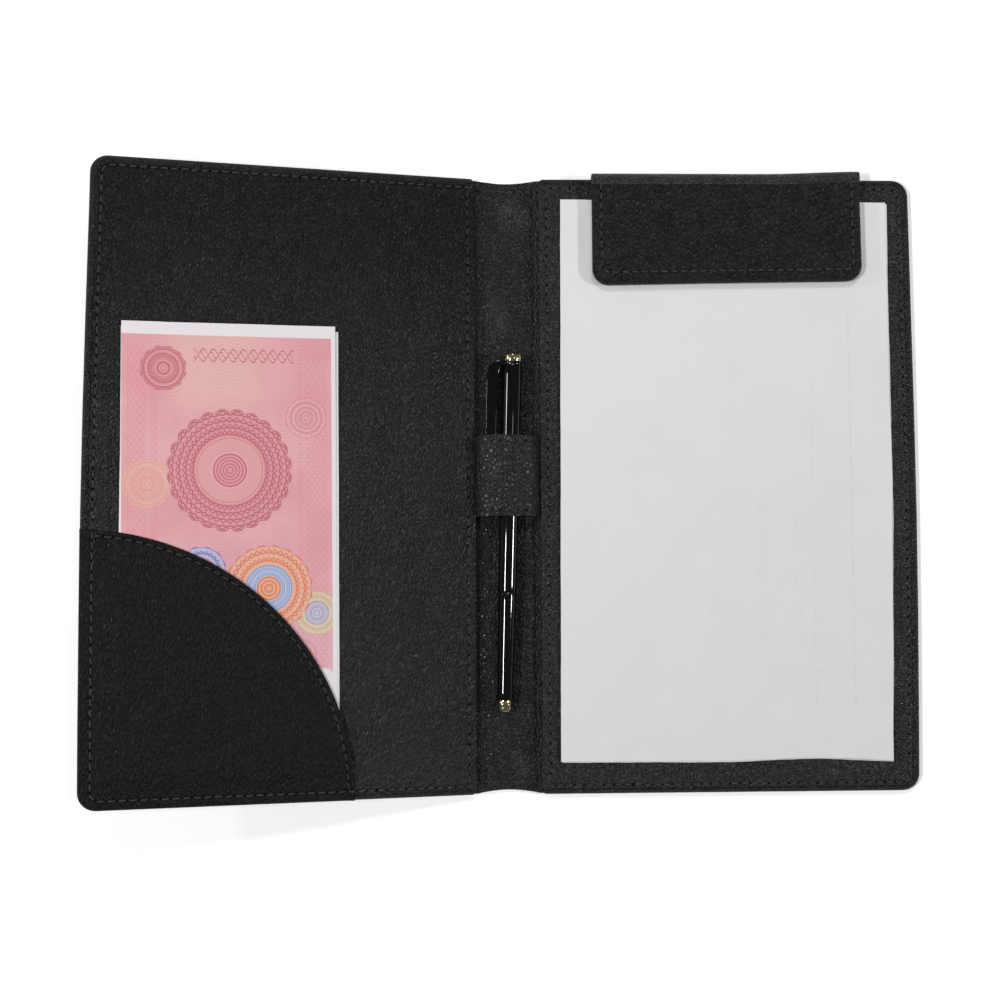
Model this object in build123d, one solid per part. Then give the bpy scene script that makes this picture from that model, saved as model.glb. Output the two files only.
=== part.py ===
# Guest check presenter: two padded leather covers joined by a soft spine, with a
# magnetic flap that clips paper to the back cover, a quarter-round cash pocket on
# the front cover, and a twist pen held in a loop on the spine.
#
# Frame: +X from the front (left) cover to the back (right) cover, +Y towards the
# clip end, +Z up from the surface it lies on.  Everything is first built with the
# origin on the spine's centre line, with the covers flat; the front cover is then
# turned up by the set of its crease, and the whole is moved to its own origin.
from build123d import *
import math
import os

os.makedirs("parts", exist_ok=True)

# ---------------------------------------------------------------- covers
COVER_W = 140.0          # cover width, spine edge to outer edge
COVER_H = 229.0          # cover height (9 inches)
CORNER_R = 6.25          # outer corner radius
SPINE_W = 24.6           # distance between the two covers' spine edges
SKIN_T = 0.6             # outer leather
BOARD_T = 1.4            # stiff board inside each cover
HEM_W = 10.0             # leather turned in over the board
HEM_Z0, HEM_Z1 = 2.0, 2.6
LINING_T = 0.6           # inner leather panel
LINING_INSET = 2.8       # inner panel's distance from the cover's outer edges
THREAD_INSET = 4.0       # stitch line's distance from the cover's outer edges
THREAD_W, THREAD_H = 0.5, 0.15

# ---------------------------------------------------------------- creases
FOLD_X = 11.8            # fold axes at x = +-11.8
FOLD_Z = 0.5
CREASE_X0, CREASE_X1 = 11.3, 12.3
FRONT_LIFT = 12.0        # the new crease holds the front cover up by this angle

# ---------------------------------------------------------------- spine
SPINE_PAD_X = 8.6        # half-width of the stiffened middle of the spine
SPINE_END = 114.3        # spine length at the creases (half)
SPINE_SAG = 1.4          # its ends are drawn in by this at the middle
SPINE_HEM_Y = 109.9      # the turned-in hem's seam

# ---------------------------------------------------------------- clip flap
FLAP_X0, FLAP_X1 = 32.0, 132.6
FLAP_Y0, FLAP_Y1 = 72.9, 115.7
FLAP_R = 6.3
FLAP_Z0, FLAP_Z1 = 3.9, 7.9
FLAP_LEATHER = 0.7
STRAP_Y0 = 108.0         # strap's sewn leg runs from here to the fold
FOLD_R = (FLAP_Z1 - 3.2) / 2
CLIP_AXIS_Y = FLAP_Y1 - FOLD_R
CLIP_AXIS_Z = 3.2 + FOLD_R
MAGNET_R, MAGNET_T = 6.0, 1.2

# ---------------------------------------------------------------- pocket and paper
POCKET_CX, POCKET_CY, POCKET_R = -154.2, -114.86, 97.0
POCKET_Z0, POCKET_Z1 = 3.9, 4.7
NOTE_W, NOTE_L = 76.3, 155.0
SHEET_W, SHEET_L = 123.5, 209.5
PAPER_T = 0.14

# ---------------------------------------------------------------- pen
PEN_L = 131.4
PEN_Z = 5.2
PEN_TILT = 1.64          # the pen lies a little askew in its loop
PEN_X0, PEN_Y0 = -1.7, -84.1
LOOP_Y0, LOOP_Y1 = -12.8, 17.2
LOOP_T = 0.6

# shift from the building frame to the part's own frame
SHIFT_X, SHIFT_Y = -1.4832, -0.6


def box(x0, x1, y0, y1, z0, z1):
    return Pos((x0 + x1) / 2, (y0 + y1) / 2, (z0 + z1) / 2) * Box(x1 - x0, y1 - y0, z1 - z0)


def plate(x0, x1, y0, y1, z0, z1, r):
    """A flat plate whose two corners at x1 are rounded."""
    b = box(x0, x1, y0, y1, z0, z1)
    return fillet(b.edges().filter_by(Axis.Z).group_by(Axis.X)[-1], r)


def cover_plate(inset, z0, z1, x0=SPINE_W / 2):
    """The cover's outline drawn in by inset on its three outer sides."""
    h = COVER_H / 2 - inset
    return plate(x0, SPINE_W / 2 + COVER_W - inset, -h, h, z0, z1, max(CORNER_R - inset, 0.6))


def to_front(s):
    """Mirror a back-cover solid to the front side."""
    return mirror(s, about=Plane.YZ)


def lift(s):
    """Turn a front-cover solid up about the front fold."""
    return s.rotate(Axis((-FOLD_X, 0, FOLD_Z), (0, 1, 0)), FRONT_LIFT)


def save(name, shape, front=False):
    if front:
        shape = lift(shape)
    shape = shape.moved(Location((SHIFT_X, SHIFT_Y, 0)))
    shape.label = name
    export_step(shape, "parts/%s.step" % name)
    bb = shape.bounding_box()
    LIMITS.append((bb.min.X, bb.min.Y, bb.min.Z, bb.max.X, bb.max.Y, bb.max.Z))


LIMITS = []

# ================================================================ cover shells
FULL = cover_plate(0, 0, HEM_Z1)


def outer_skin():
    """Leather tray: outside face, edge wall and the hem turned in over the board."""
    x0 = SPINE_W / 2
    base = cover_plate(0, 0, SKIN_T)
    wall = cover_plate(0, SKIN_T, HEM_Z0) - cover_plate(SKIN_T, SKIN_T, HEM_Z0)
    hem = cover_plate(0, HEM_Z0, HEM_Z1) - cover_plate(HEM_W, HEM_Z0, HEM_Z1)
    hem = hem - box(x0 - 1, x0 + 0.6, -COVER_H / 2 + SKIN_T, COVER_H / 2 - SKIN_T, HEM_Z0, HEM_Z1)
    wall_ends = box(x0, x0 + 0.6, -COVER_H / 2, COVER_H / 2, SKIN_T, HEM_Z1)
    wall_ends = wall_ends - box(x0 - 1, x0 + 1.6, -COVER_H / 2 + SKIN_T, COVER_H / 2 - SKIN_T, 0, 5)
    return base + wall + hem + wall_ends


def board():
    return cover_plate(SKIN_T, SKIN_T, HEM_Z0, x0=SPINE_W / 2 + 0.6)


def foam():
    return cover_plate(HEM_W, HEM_Z0, HEM_Z1, x0=SPINE_W / 2 + 0.6)


def lining():
    """Inner panel, folded down over the board along the spine side."""
    x0 = SPINE_W / 2
    top = cover_plate(LINING_INSET, HEM_Z1, HEM_Z1 + LINING_T)
    h = COVER_H / 2
    lip = box(x0, x0 + 0.6, -(h - SKIN_T), h - SKIN_T, SKIN_T, HEM_Z1)
    return top + lip


def edge_thread():
    """Stitch line round the three outer sides, drawn down flush into the inner panel."""
    z1 = HEM_Z1 + LINING_T
    x0 = SPINE_W / 2 + 2.0
    a = cover_plate(THREAD_INSET - THREAD_W / 2, z1 - THREAD_H, z1, x0=x0)
    b = cover_plate(THREAD_INSET + THREAD_W / 2, z1 - 1, z1 + 1, x0=x0 - 1)
    return a - b


# ---------------------------------------------------------------- back cover
KEEPER = (45.0, 119.6, 79.0, 99.0, 2.05, 2.55)

save("back_outer_skin", outer_skin())
save("back_board", board())
save("back_foam", foam() - box(*KEEPER[:4], HEM_Z0 - 0.1, HEM_Z1 + 0.1))
save("clip_keeper_plate", box(*KEEPER))
back_stitches = edge_thread() - box(FLAP_X0, FLAP_X1, STRAP_Y0 - 0.5, 116, 3, 4)
save("back_lining", lining() - back_stitches)
save("back_edge_thread", back_stitches)

strap_foot = box(FLAP_X0, FLAP_X1, STRAP_Y0, CLIP_AXIS_Y, 3.2, 3.2 + FLAP_LEATHER)

# strap: sewn leg, half-round fold beyond the cover's edge, and return to the flap
fold_face = make_face(
    [
        ThreePointArc((CLIP_AXIS_Y, 3.2), (CLIP_AXIS_Y + FOLD_R, CLIP_AXIS_Z), (CLIP_AXIS_Y, FLAP_Z1)),
        Line((CLIP_AXIS_Y, FLAP_Z1), (CLIP_AXIS_Y, FLAP_Z1 - FLAP_LEATHER)),
        ThreePointArc(
            (CLIP_AXIS_Y, FLAP_Z1 - FLAP_LEATHER),
            (CLIP_AXIS_Y + FOLD_R - FLAP_LEATHER, CLIP_AXIS_Z),
            (CLIP_AXIS_Y, 3.2 + FLAP_LEATHER),
        ),
        Line((CLIP_AXIS_Y, 3.2 + FLAP_LEATHER), (CLIP_AXIS_Y, 3.2)),
    ]
)
fold = extrude(Plane.YZ.offset(FLAP_X0) * fold_face, FLAP_X1 - FLAP_X0)
strap_return = box(FLAP_X0, FLAP_X1, CLIP_AXIS_Y - 1.2, CLIP_AXIS_Y, FLAP_Z1 - FLAP_LEATHER, FLAP_Z1)
save("clip_hinge_strap", strap_foot + fold + strap_return)

# ================================================================ clip flap
FY1 = CLIP_AXIS_Y - 1.2      # rigid part of the flap stops short of the fold


def flap_plate(inset, z0, z1, y1=FY1):
    b = box(FLAP_X0 + inset, FLAP_X1 - inset, FLAP_Y0 + inset, y1, z0, z1)
    return fillet(b.edges().filter_by(Axis.Z).group_by(Axis.Y)[0], FLAP_R - inset)


core_z0, core_z1 = FLAP_Z0 + FLAP_LEATHER, FLAP_Z1 - FLAP_LEATHER
save(
    "clip_top_leather",
    flap_plate(0, core_z1, FLAP_Z1) + (flap_plate(0, core_z0, core_z1) - flap_plate(0.8, core_z0, core_z1)),
)
save("clip_bottom_leather", flap_plate(0, FLAP_Z0, core_z0))
mag = [
    Pos(x, 89.0, core_z0 + MAGNET_T / 2) * Cylinder(MAGNET_R, MAGNET_T)
    for x in ((FLAP_X0 + FLAP_X1) / 2 - 28.0, (FLAP_X0 + FLAP_X1) / 2 + 28.0)
]
save("clip_magnets", mag[0] + mag[1])
pockets = [
    Pos(x, 89.0, core_z0 + MAGNET_T / 2) * Cylinder(MAGNET_R + 0.1, MAGNET_T + 0.1)
    for x in ((FLAP_X0 + FLAP_X1) / 2 - 28.0, (FLAP_X0 + FLAP_X1) / 2 + 28.0)
]
save("clip_stiffener", flap_plate(0.8, core_z0, core_z1) - pockets[0] - pockets[1])


def flap_thread_outline(d, e, z0, z1):
    """Side rows d in from the edge, bottom row e up from the edge."""
    b = box(FLAP_X0 + d, FLAP_X1 - d, FLAP_Y0 + e, FY1, z0, z1)
    return fillet(b.edges().filter_by(Axis.Z).group_by(Axis.Y)[0], 3.0)


save(
    "clip_thread",
    flap_thread_outline(3.2, 4.2, FLAP_Z1, FLAP_Z1 + THREAD_H) - flap_thread_outline(3.7, 4.7, FLAP_Z1 - 1, FLAP_Z1 + 1)
    - box(FLAP_X0 + 3.7, FLAP_X1 - 3.7, FY1 - 3, FY1 + 1, FLAP_Z1 - 1, FLAP_Z1 + 1),
)

# ================================================================ check sheets
SHEET_CX, SHEET_CY = 81.0, 1.25


def sheet(cx, cy, ang, w, l, z0):
    return Pos(cx, cy, z0 + PAPER_T / 2) * Rot(0, 0, ang) * Box(w, l, PAPER_T)


save("check_sheet_bottom", sheet(SHEET_CX + 0.5, SHEET_CY - 0.7, -0.45, SHEET_W, SHEET_L, 3.24))
save("check_sheet_top", sheet(SHEET_CX, SHEET_CY, -0.4, SHEET_W, SHEET_L, 3.42))

# ================================================================ front cover
save("front_outer_skin", to_front(outer_skin()), front=True)
save("front_board", to_front(board()), front=True)
save("front_foam", to_front(foam()), front=True)

XO, YO = -(SPINE_W / 2 + COVER_W), -COVER_H / 2      # the pocket's own corner of the cover


def quarter(r, z0, z1):
    """Quarter-round region on the cover's outer bottom corner."""
    disc = Pos(POCKET_CX, POCKET_CY, (z0 + z1) / 2) * Cylinder(r, z1 - z0)
    return disc & to_front(cover_plate(0.6, z0, z1))


def margin(i0, i1, z0, z1):
    """Strip along the cover's outer and bottom edges between two insets."""
    ring = to_front(cover_plate(i0, z0, z1)) - to_front(cover_plate(i1, z0 - 1, z1 + 1, x0=0))
    return ring & quarter(POCKET_R, z0, z1)


pocket = quarter(POCKET_R, POCKET_Z0, POCKET_Z1)
pocket = pocket + margin(0.6, LINING_INSET, HEM_Z1, POCKET_Z0) + margin(LINING_INSET, 4.8, HEM_Z1 + LINING_T, POCKET_Z0)
save("cash_pocket", pocket, front=True)

front_stitches = to_front(edge_thread()) - Pos(POCKET_CX, POCKET_CY, 3.5) * Cylinder(POCKET_R + 0.3, 3.0)
save("front_lining", to_front(lining()) - front_stitches, front=True)
save("front_edge_thread", front_stitches, front=True)

band = quarter(POCKET_R - 1.9, POCKET_Z1, POCKET_Z1 + THREAD_H) - Pos(POCKET_CX, POCKET_CY, 4.7) * Cylinder(POCKET_R - 2.4, 3.0)
band = band - box(XO, XO + 3.7, YO, 0, 4, 6) - box(XO, 0, YO, YO + 3.7, 4, 6)
legs = margin(THREAD_INSET - THREAD_W / 2, THREAD_INSET + THREAD_W / 2, POCKET_Z1, POCKET_Z1 + THREAD_H)
legs = legs & (Pos(POCKET_CX, POCKET_CY, 4.7) * Cylinder(POCKET_R - 1.9, 3.0))
save("pocket_thread", band + legs, front=True)

# ---------------------------------------------------------------- cash notes
NOTE_CX, NOTE_CY = -102.15, 55.7 - NOTE_L / 2
save("cash_note_back", sheet(NOTE_CX + 0.9, NOTE_CY - 1.7, 0.3, NOTE_W, NOTE_L, 3.24), front=True)
save("cash_note_front", sheet(NOTE_CX, NOTE_CY, 0.5, NOTE_W, NOTE_L, 3.42), front=True)

# ================================================================ spine
def spine_base(z0, z1):
    f = make_face(
        [
            ThreePointArc((-CREASE_X0, SPINE_END), (0, SPINE_END - SPINE_SAG), (CREASE_X0, SPINE_END)),
            Line((CREASE_X0, SPINE_END), (CREASE_X0, -SPINE_END)),
            ThreePointArc((CREASE_X0, -SPINE_END), (0, -SPINE_END + SPINE_SAG), (-CREASE_X0, -SPINE_END)),
            Line((-CREASE_X0, -SPINE_END), (-CREASE_X0, SPINE_END)),
        ]
    )
    return Pos(0, 0, z0) * extrude(f, z1 - z0)


HEM_END = 112.8
skin = spine_base(0, SKIN_T)
for s in (1, -1):
    y = sorted((s * (HEM_END - 0.5), s * HEM_END))
    skin = skin + box(-SPINE_PAD_X, SPINE_PAD_X, y[0], y[1], SKIN_T, 1.4)
    y = sorted((s * SPINE_HEM_Y, s * HEM_END))
    skin = skin + box(-SPINE_PAD_X, SPINE_PAD_X, y[0], y[1], 1.0, 1.4)
save("spine_outer_skin", skin)
save("spine_stiffener", box(-SPINE_PAD_X, SPINE_PAD_X, -(HEM_END - 0.5), HEM_END - 0.5, SKIN_T, 1.0))
save("spine_lining", box(-SPINE_PAD_X, SPINE_PAD_X, -SPINE_HEM_Y, SPINE_HEM_Y, 1.0, 1.4))

# creases: the outer leather where it bends between spine and cover
save("back_crease_leather", box(CREASE_X0, CREASE_X1, -SPINE_END, SPINE_END, 0, SKIN_T))


def turned(x, z):
    a = math.radians(FRONT_LIFT)
    dx, dz = x + FOLD_X, z - FOLD_Z
    return (-FOLD_X + dx * math.cos(a) + dz * math.sin(a), FOLD_Z - dx * math.sin(a) + dz * math.cos(a))


c0, c1 = turned(-CREASE_X1, SKIN_T), turned(-CREASE_X1, 0)
crease = make_face(Polyline((-CREASE_X0, 0), (-CREASE_X0, SKIN_T), c0, c1, (-CREASE_X0, 0)))
crease = extrude(Plane.XZ.offset(-SPINE_END) * crease, 2 * SPINE_END)
save("front_crease_leather", crease)

# ---------------------------------------------------------------- pen loop
LOOP_LINE = [
    (-8.7, 1.4), (-8.7, 4.2), (-8.7, 6.6), (-8.45, 7.5), (-7.6, 8.1), (-6.0, 8.6), (-4.4, 9.0), (-3.0, 9.25),
    (-1.0, 9.45), (1.2, 9.5), (3.0, 9.3), (4.4, 8.6), (5.3, 7.4), (5.7, 5.8), (5.85, 4.0), (6.0, 2.7),
    (6.4, 1.95), (7.2, 1.7), (8.8, 1.7),
]


def offset_line(pts, d):
    """Points of a polyline moved sideways by d (to its left)."""
    out = []
    for i, (x, z) in enumerate(pts):
        a = pts[max(i - 1, 0)]
        b = pts[min(i + 1, len(pts) - 1)]
        tx, tz = b[0] - a[0], b[1] - a[1]
        n = math.hypot(tx, tz)
        out.append((x - tz / n * d, z + tx / n * d))
    return out


def band_solid(pts, d0, d1, y0, y1, i0=0, i1=None):
    a, b = offset_line(pts, d0)[i0:i1], offset_line(pts, d1)[i0:i1]
    ring = a + b[::-1]
    f = make_face(Polyline(*ring, ring[0]))
    return extrude(Plane.XZ.offset(-y1) * f, y1 - y0)


save("pen_loop", band_solid(LOOP_LINE, -LOOP_T / 2, LOOP_T / 2, LOOP_Y0, LOOP_Y1))
rows = [
    band_solid(LOOP_LINE, LOOP_T / 2, LOOP_T / 2 + THREAD_H, y, y + THREAD_W, 4, 16)
    for y in (LOOP_Y0 + 1.6, LOOP_Y1 - 2.1)
]
save("pen_loop_thread", rows[0] + rows[1])

# ================================================================ pen
def turn(profile):
    """Solid of revolution about the pen's axis; profile in (radius, distance from the nose)."""
    f = make_face(Polyline(*profile, profile[0]))
    return revolve(f, Axis.Y, 360)


def place_pen(s):
    s = s.rotate(Axis.Z, -PEN_TILT)
    return s.moved(Location((PEN_X0, PEN_Y0, PEN_Z)))


save("pen_nose_cone", place_pen(turn([
    (1.35, 0), (1.75, 0), (2.2, 0.25), (2.45, 0.75), (2.52, 1.4), (2.55, 4.2), (2.0, 4.2), (2.0, 9.0), (1.35, 9.0)])))
save("pen_lower_barrel", place_pen(turn([
    (2.0, 4.2), (2.9, 4.2), (3.0, 8.0), (3.15, 24.0), (3.35, 43.2), (2.5, 43.2), (2.5, 55.0), (1.6, 55.0), (1.6, 9.0), (2.0, 9.0)])))
save("pen_upper_barrel", place_pen(turn([
    (2.8, 43.5), (3.42, 43.5), (3.5, 44.2), (3.53, 61.0), (3.6, 100.0), (3.6, 127.6), (1.5, 127.6), (1.5, 125.6), (2.8, 125.6)])))
save("pen_twist_mechanism", place_pen(turn([
    (1.55, 58.0), (2.75, 58.0), (2.75, 100.0), (0, 100.0), (0, 98.0), (1.55, 98.0)])))
save("pen_refill", place_pen(turn([
    (0, 1.0), (0.35, 1.2), (0.6, 3.2), (1.1, 4.6), (1.1, 94.0), (0, 94.0)])))
save("pen_top_cap", place_pen(turn([
    (0, 126.0), (1.5, 126.0), (1.5, 128.8), (3.62, 128.8), (3.62, 130.9), (3.2, 131.4), (0, 131.4)])))
collar = turn([(1.5, 127.6), (3.55, 127.6), (3.55, 128.8), (1.5, 128.8)])
arm_pts = [
    (-3.0, 128.8), (-3.75, 128.8), (-3.85, 129.5), (-5.6, 129.4), (-7.2, 128.3), (-8.4, 126.5), (-9.1, 124.0),
    (-9.4, 121.0), (-9.3, 102.0), (-8.95, 88.5), (-8.6, 87.6), (-7.2, 87.6), (-6.6, 88.8), (-6.8, 121.5), (-6.6, 123.6),
    (-6.0, 125.4), (-5.2, 126.8), (-4.2, 127.6), (-3.0, 127.6)]
arm = extrude(Pos(0, 0, -1.2) * make_face(Polyline(*arm_pts, arm_pts[0])), 2.4)
arm = arm - turn([(0, 120.0), (1.6, 120.0), (1.6, 130.0), (0, 130.0)])
save("pen_clip", place_pen(collar + arm))

lo = [min(b[i] for b in LIMITS) for i in range(3)]
hi = [max(b[i + 3] for b in LIMITS) for i in range(3)]
print("box", [round(v, 4) for v in lo], [round(v, 4) for v in hi])
print("centre", round((lo[0] + hi[0]) / 2, 4), round((lo[1] + hi[1]) / 2, 4))
print("front fold at", (-FOLD_X + SHIFT_X, SHIFT_Y, FOLD_Z), "back fold at", (FOLD_X + SHIFT_X, SHIFT_Y, FOLD_Z))
print("clip axis at", ((FLAP_X0 + FLAP_X1) / 2 + SHIFT_X, CLIP_AXIS_Y + SHIFT_Y, CLIP_AXIS_Z))
print("pen axis from", (PEN_X0 + SHIFT_X, PEN_Y0 + SHIFT_Y, PEN_Z), "towards", (math.sin(math.radians(PEN_TILT)), math.cos(math.radians(PEN_TILT)), 0))
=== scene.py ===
import math

import bpy
import numpy as np
from mathutils import Matrix, Vector, noise
from mathutils.geometry import delaunay_2d_cdt


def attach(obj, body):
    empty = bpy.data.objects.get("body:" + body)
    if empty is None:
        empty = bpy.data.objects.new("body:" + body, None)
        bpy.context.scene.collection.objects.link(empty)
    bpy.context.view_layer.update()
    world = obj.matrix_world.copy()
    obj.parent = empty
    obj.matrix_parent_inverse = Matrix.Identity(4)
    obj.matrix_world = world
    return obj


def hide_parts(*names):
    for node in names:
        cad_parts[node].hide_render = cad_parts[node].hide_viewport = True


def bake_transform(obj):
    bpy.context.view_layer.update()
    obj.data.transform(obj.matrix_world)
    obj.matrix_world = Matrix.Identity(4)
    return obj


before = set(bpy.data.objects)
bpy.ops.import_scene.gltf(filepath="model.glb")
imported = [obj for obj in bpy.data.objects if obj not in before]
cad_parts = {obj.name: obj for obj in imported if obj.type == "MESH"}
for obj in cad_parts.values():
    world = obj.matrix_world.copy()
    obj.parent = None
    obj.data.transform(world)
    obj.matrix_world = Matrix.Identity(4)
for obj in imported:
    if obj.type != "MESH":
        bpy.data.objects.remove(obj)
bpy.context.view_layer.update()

# ------------------------------------------------------------------ frame
# Pieces are drawn in millimetres with the covers flat and the spine's centre
# line at x = 0.  The front cover's own pieces are drawn flat too, then turned
# up with it.
MM = 0.001
SHIFT = np.array([-1.4832, -0.6, 0.0])
LIFT = math.radians(12.0)
FOLD_X, FOLD_Z = 11.8, 0.5

COVER_X0, COVER_X1, COVER_Y, COVER_R = 12.3, 152.3, 114.5, 6.25
FLAP = (32.0, 132.6, 72.9, 112.15)
FOLD_Y, FOLD_AZ, FOLD_R = 113.35, 5.55, 2.35
POCKET_C, POCKET_R = (154.2, -114.86), 97.0


def lift(p, w=None):
    """Turns flat front-cover points up about the front fold, by the share w of the lift."""
    p = np.array(p, float).reshape(-1, 3)
    a = LIFT * (np.ones(len(p)) if w is None else np.asarray(w, float))
    dx, dz = p[:, 0] + FOLD_X, p[:, 2] - FOLD_Z
    q = p.copy()
    q[:, 0] = -FOLD_X + dx * np.cos(a) + dz * np.sin(a)
    q[:, 2] = FOLD_Z - dx * np.sin(a) + dz * np.cos(a)
    return q


def row(p):
    return (np.array(p, float).reshape(-1, 3) + SHIFT) * MM


def row_point(x, y, z, front=False):
    p = np.array([[x, y, z]], float)
    return tuple(row(lift(p) if front else p)[0])


def mirrored(p):
    p = np.array(p, float).reshape(-1, 3).copy()
    p[:, 0] *= -1
    return p


def wobble(x, y, size, seed=0.0):
    """Smooth unevenness between about -1 and 1, over spots of this size in mm."""
    out = np.empty(len(x))
    for i in range(len(x)):
        out[i] = noise.noise(Vector((x[i] / size, y[i] / size, seed)))
    return out


BOW_Y = (-115.0, -86.0, -50.0, -12.0, 25.0, 60.0, 97.0, 115.0)
BOW_FRONT = (0.15, 0.35, 0.45, 0.5, 0.15, -0.45, -1.2, -1.45)
BOW_BACK = (-0.60, 0.0, 0.6, 0.95, 0.9, 0.65, 0.4, 0.2)


def bowed(v, front):
    """The soft covers' outer sides aren't quite straight."""
    v = np.array(v, float).reshape(-1, 3)
    share = np.clip((v[:, 0] - COVER_X0) / (COVER_X1 - COVER_X0), 0, 1.05)
    v[:, 0] += share * np.interp(v[:, 1], BOW_Y, BOW_FRONT if front else BOW_BACK)
    return v


def build(name, verts, faces, mats, body, front=False, flip=False, flat=None, kind=None,
          w=None, sharp=42.0, bow=False):
    """A smooth-shaded piece. verts are flat millimetres; flat is what the leather grain follows."""
    verts = np.array(verts, float).reshape(-1, 3)
    flat = verts if flat is None else np.array(flat, float).reshape(-1, 3)
    if bow:
        verts = bowed(verts, front)
    if front:
        verts = mirrored(verts)
        flat = mirrored(flat)
        flip = not flip
        verts = lift(verts, w)
    if flip:
        faces = [tuple(reversed(f)) for f in faces]
    me = bpy.data.meshes.new(name)
    me.from_pydata([tuple(v) for v in row(verts)], [], [tuple(int(i) for i in f) for f in faces])
    me.validate()
    me.update()
    if len(me.vertices) != len(verts):
        raise RuntimeError(name + " lost vertices")
    me.polygons.foreach_set("use_smooth", [True] * len(me.polygons))
    me.set_sharp_from_angle(angle=math.radians(sharp))
    a = me.attributes.new("flat_mm", "FLOAT_VECTOR", "POINT")
    a.data.foreach_set("vector", flat.astype(np.float32).ravel())
    if not isinstance(mats, (list, tuple)):
        mats = [mats]
    for m in mats:
        me.materials.append(m)
    if kind is not None:
        for p, k in zip(me.polygons, kind):
            p.material_index = int(k)
    ob = bpy.data.objects.new(name, me)
    bpy.context.scene.collection.objects.link(ob)
    if body is not None:
        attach(ob, body)
    return ob


# ------------------------------------------------------------------ outlines and lofts
def arc(cx, cy, r, a0, a1, n):
    t = np.radians(np.linspace(a0, a1, n))
    return np.stack([cx + r * np.cos(t), cy + r * np.sin(t)], 1)


def line(a, b, n):
    t = np.linspace(0, 1, n + 1)[1:-1]
    return np.outer(1 - t, a) + np.outer(t, b)


def cover_outline(o, t, b, s, step=1.0, r=COVER_R, rs=0.9):
    """Closed outline of a cover, drawn in by o, t, b and s at its outer, top, bottom and spine sides."""
    x0, x1, y0, y1 = COVER_X0 + s, COVER_X1 - o, -COVER_Y + b, COVER_Y - t
    ro = max(r - min(o, t, b), 0.25)
    ri = max(rs - min(s, t, b), 0.12)
    nx, ny = int(140 / step), int(229 / step)
    parts = [
        line((x0 + ri, y0), (x1 - ro, y0), nx),
        arc(x1 - ro, y0 + ro, ro, -90, 0, 12),
        line((x1, y0 + ro), (x1, y1 - ro), ny),
        arc(x1 - ro, y1 - ro, ro, 0, 90, 12),
        line((x1 - ro, y1), (x0 + ri, y1), nx),
        arc(x0 + ri, y1 - ri, ri, 90, 180, 5),
        line((x0, y1 - ri), (x0, y0 + ri), ny),
        arc(x0 + ri, y0 + ri, ri, 180, 270, 5),
    ]
    return np.concatenate(parts)


def loft(rings):
    """Quads between closed rings of equal length."""
    n = len(rings[0])
    verts = np.concatenate(rings)
    faces = []
    for k in range(len(rings) - 1):
        a, b = k * n, (k + 1) * n
        for i in range(n):
            j = (i + 1) % n
            faces.append((a + i, a + j, b + j, b + i))
    return verts, faces


def fill(ring_xy, spacing):
    """Triangles that fill a closed outline, over a regular net of points. Returns (points, faces)."""
    ring = [Vector((float(x), float(y))) for x, y in ring_xy]
    lo, hi = ring_xy.min(0), ring_xy.max(0)
    pts = []
    row_i = 0
    y = lo[1] + spacing
    r = np.asarray(ring_xy)
    while y < hi[1] - spacing * 0.6:
        x = lo[0] + spacing * (1.0 if row_i % 2 else 0.5)
        while x < hi[0] - spacing * 0.5:
            pts.append((x, y))
            x += spacing
        y += spacing * 0.87
        row_i += 1
    pts = np.array(pts)
    # inside the outline, and not right at it
    x, y = pts[:, 0], pts[:, 1]
    inside = np.zeros(len(pts), bool)
    x0, y0 = r[:, 0], r[:, 1]
    x1, y1 = np.roll(x0, -1), np.roll(y0, -1)
    for i in range(len(r)):
        c = ((y0[i] > y) != (y1[i] > y))
        if c.any():
            xi = (x1[i] - x0[i]) * (y[c] - y0[i]) / (y1[i] - y0[i]) + x0[i]
            inside[np.nonzero(c)[0][x[c] < xi]] ^= True
    pts = pts[inside]
    near = np.empty(len(pts))
    for i in range(0, len(pts), 2000):
        d = pts[i:i + 2000, None, :] - r[None, ::2, :]
        near[i:i + 2000] = np.sqrt((d ** 2).sum(2)).min(1)
    pts = pts[near > spacing * 0.45]
    n = len(ring)
    co = ring + [Vector((float(a), float(b))) for a, b in pts]
    out, _, faces, orig, _, _ = delaunay_2d_cdt(co, [], [list(range(n))], 1, 1e-6)
    back = [o[0] if o else -1 for o in orig]
    if min(back) < 0:
        raise RuntimeError("the fill made new points")
    return pts, [tuple(back[i] for i in f) for f in faces]


def capped(verts, faces, ring_start, n, ring_xy, height, spacing, up=True):
    """Adds a filled cap on one of the loft's rings."""
    pts, tris = fill(ring_xy, spacing)
    base = len(verts)
    z = height(pts[:, 0], pts[:, 1])
    verts = np.concatenate([verts, np.column_stack([pts, z])])
    for f in tris:
        g = tuple(ring_start + i if i < n else base + i - n for i in f)
        a, b, c = (verts[g[0]], verts[g[1]], verts[g[2]])
        normal_z = (b[0] - a[0]) * (c[1] - a[1]) - (b[1] - a[1]) * (c[0] - a[0])
        if (normal_z > 0) != up:
            g = tuple(reversed(g))
        faces.append(g)
    return verts, faces


def rounded_distance(x, y, x1, y1, r):
    """How far inside a shape with one rounded corner at (x1, y1), straight sides elsewhere."""
    qx, qy = x - (x1 - r), y - (y1 - r)
    out = np.minimum(np.maximum(qx, qy), 0) + np.hypot(np.maximum(qx, 0), np.maximum(qy, 0)) - r
    return -out


def bump(d, at, width):
    return np.exp(-(((d - at) / width) ** 2))


def smooth(t):
    t = np.clip(t, 0, 1)
    return t * t * (3 - 2 * t)


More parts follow.
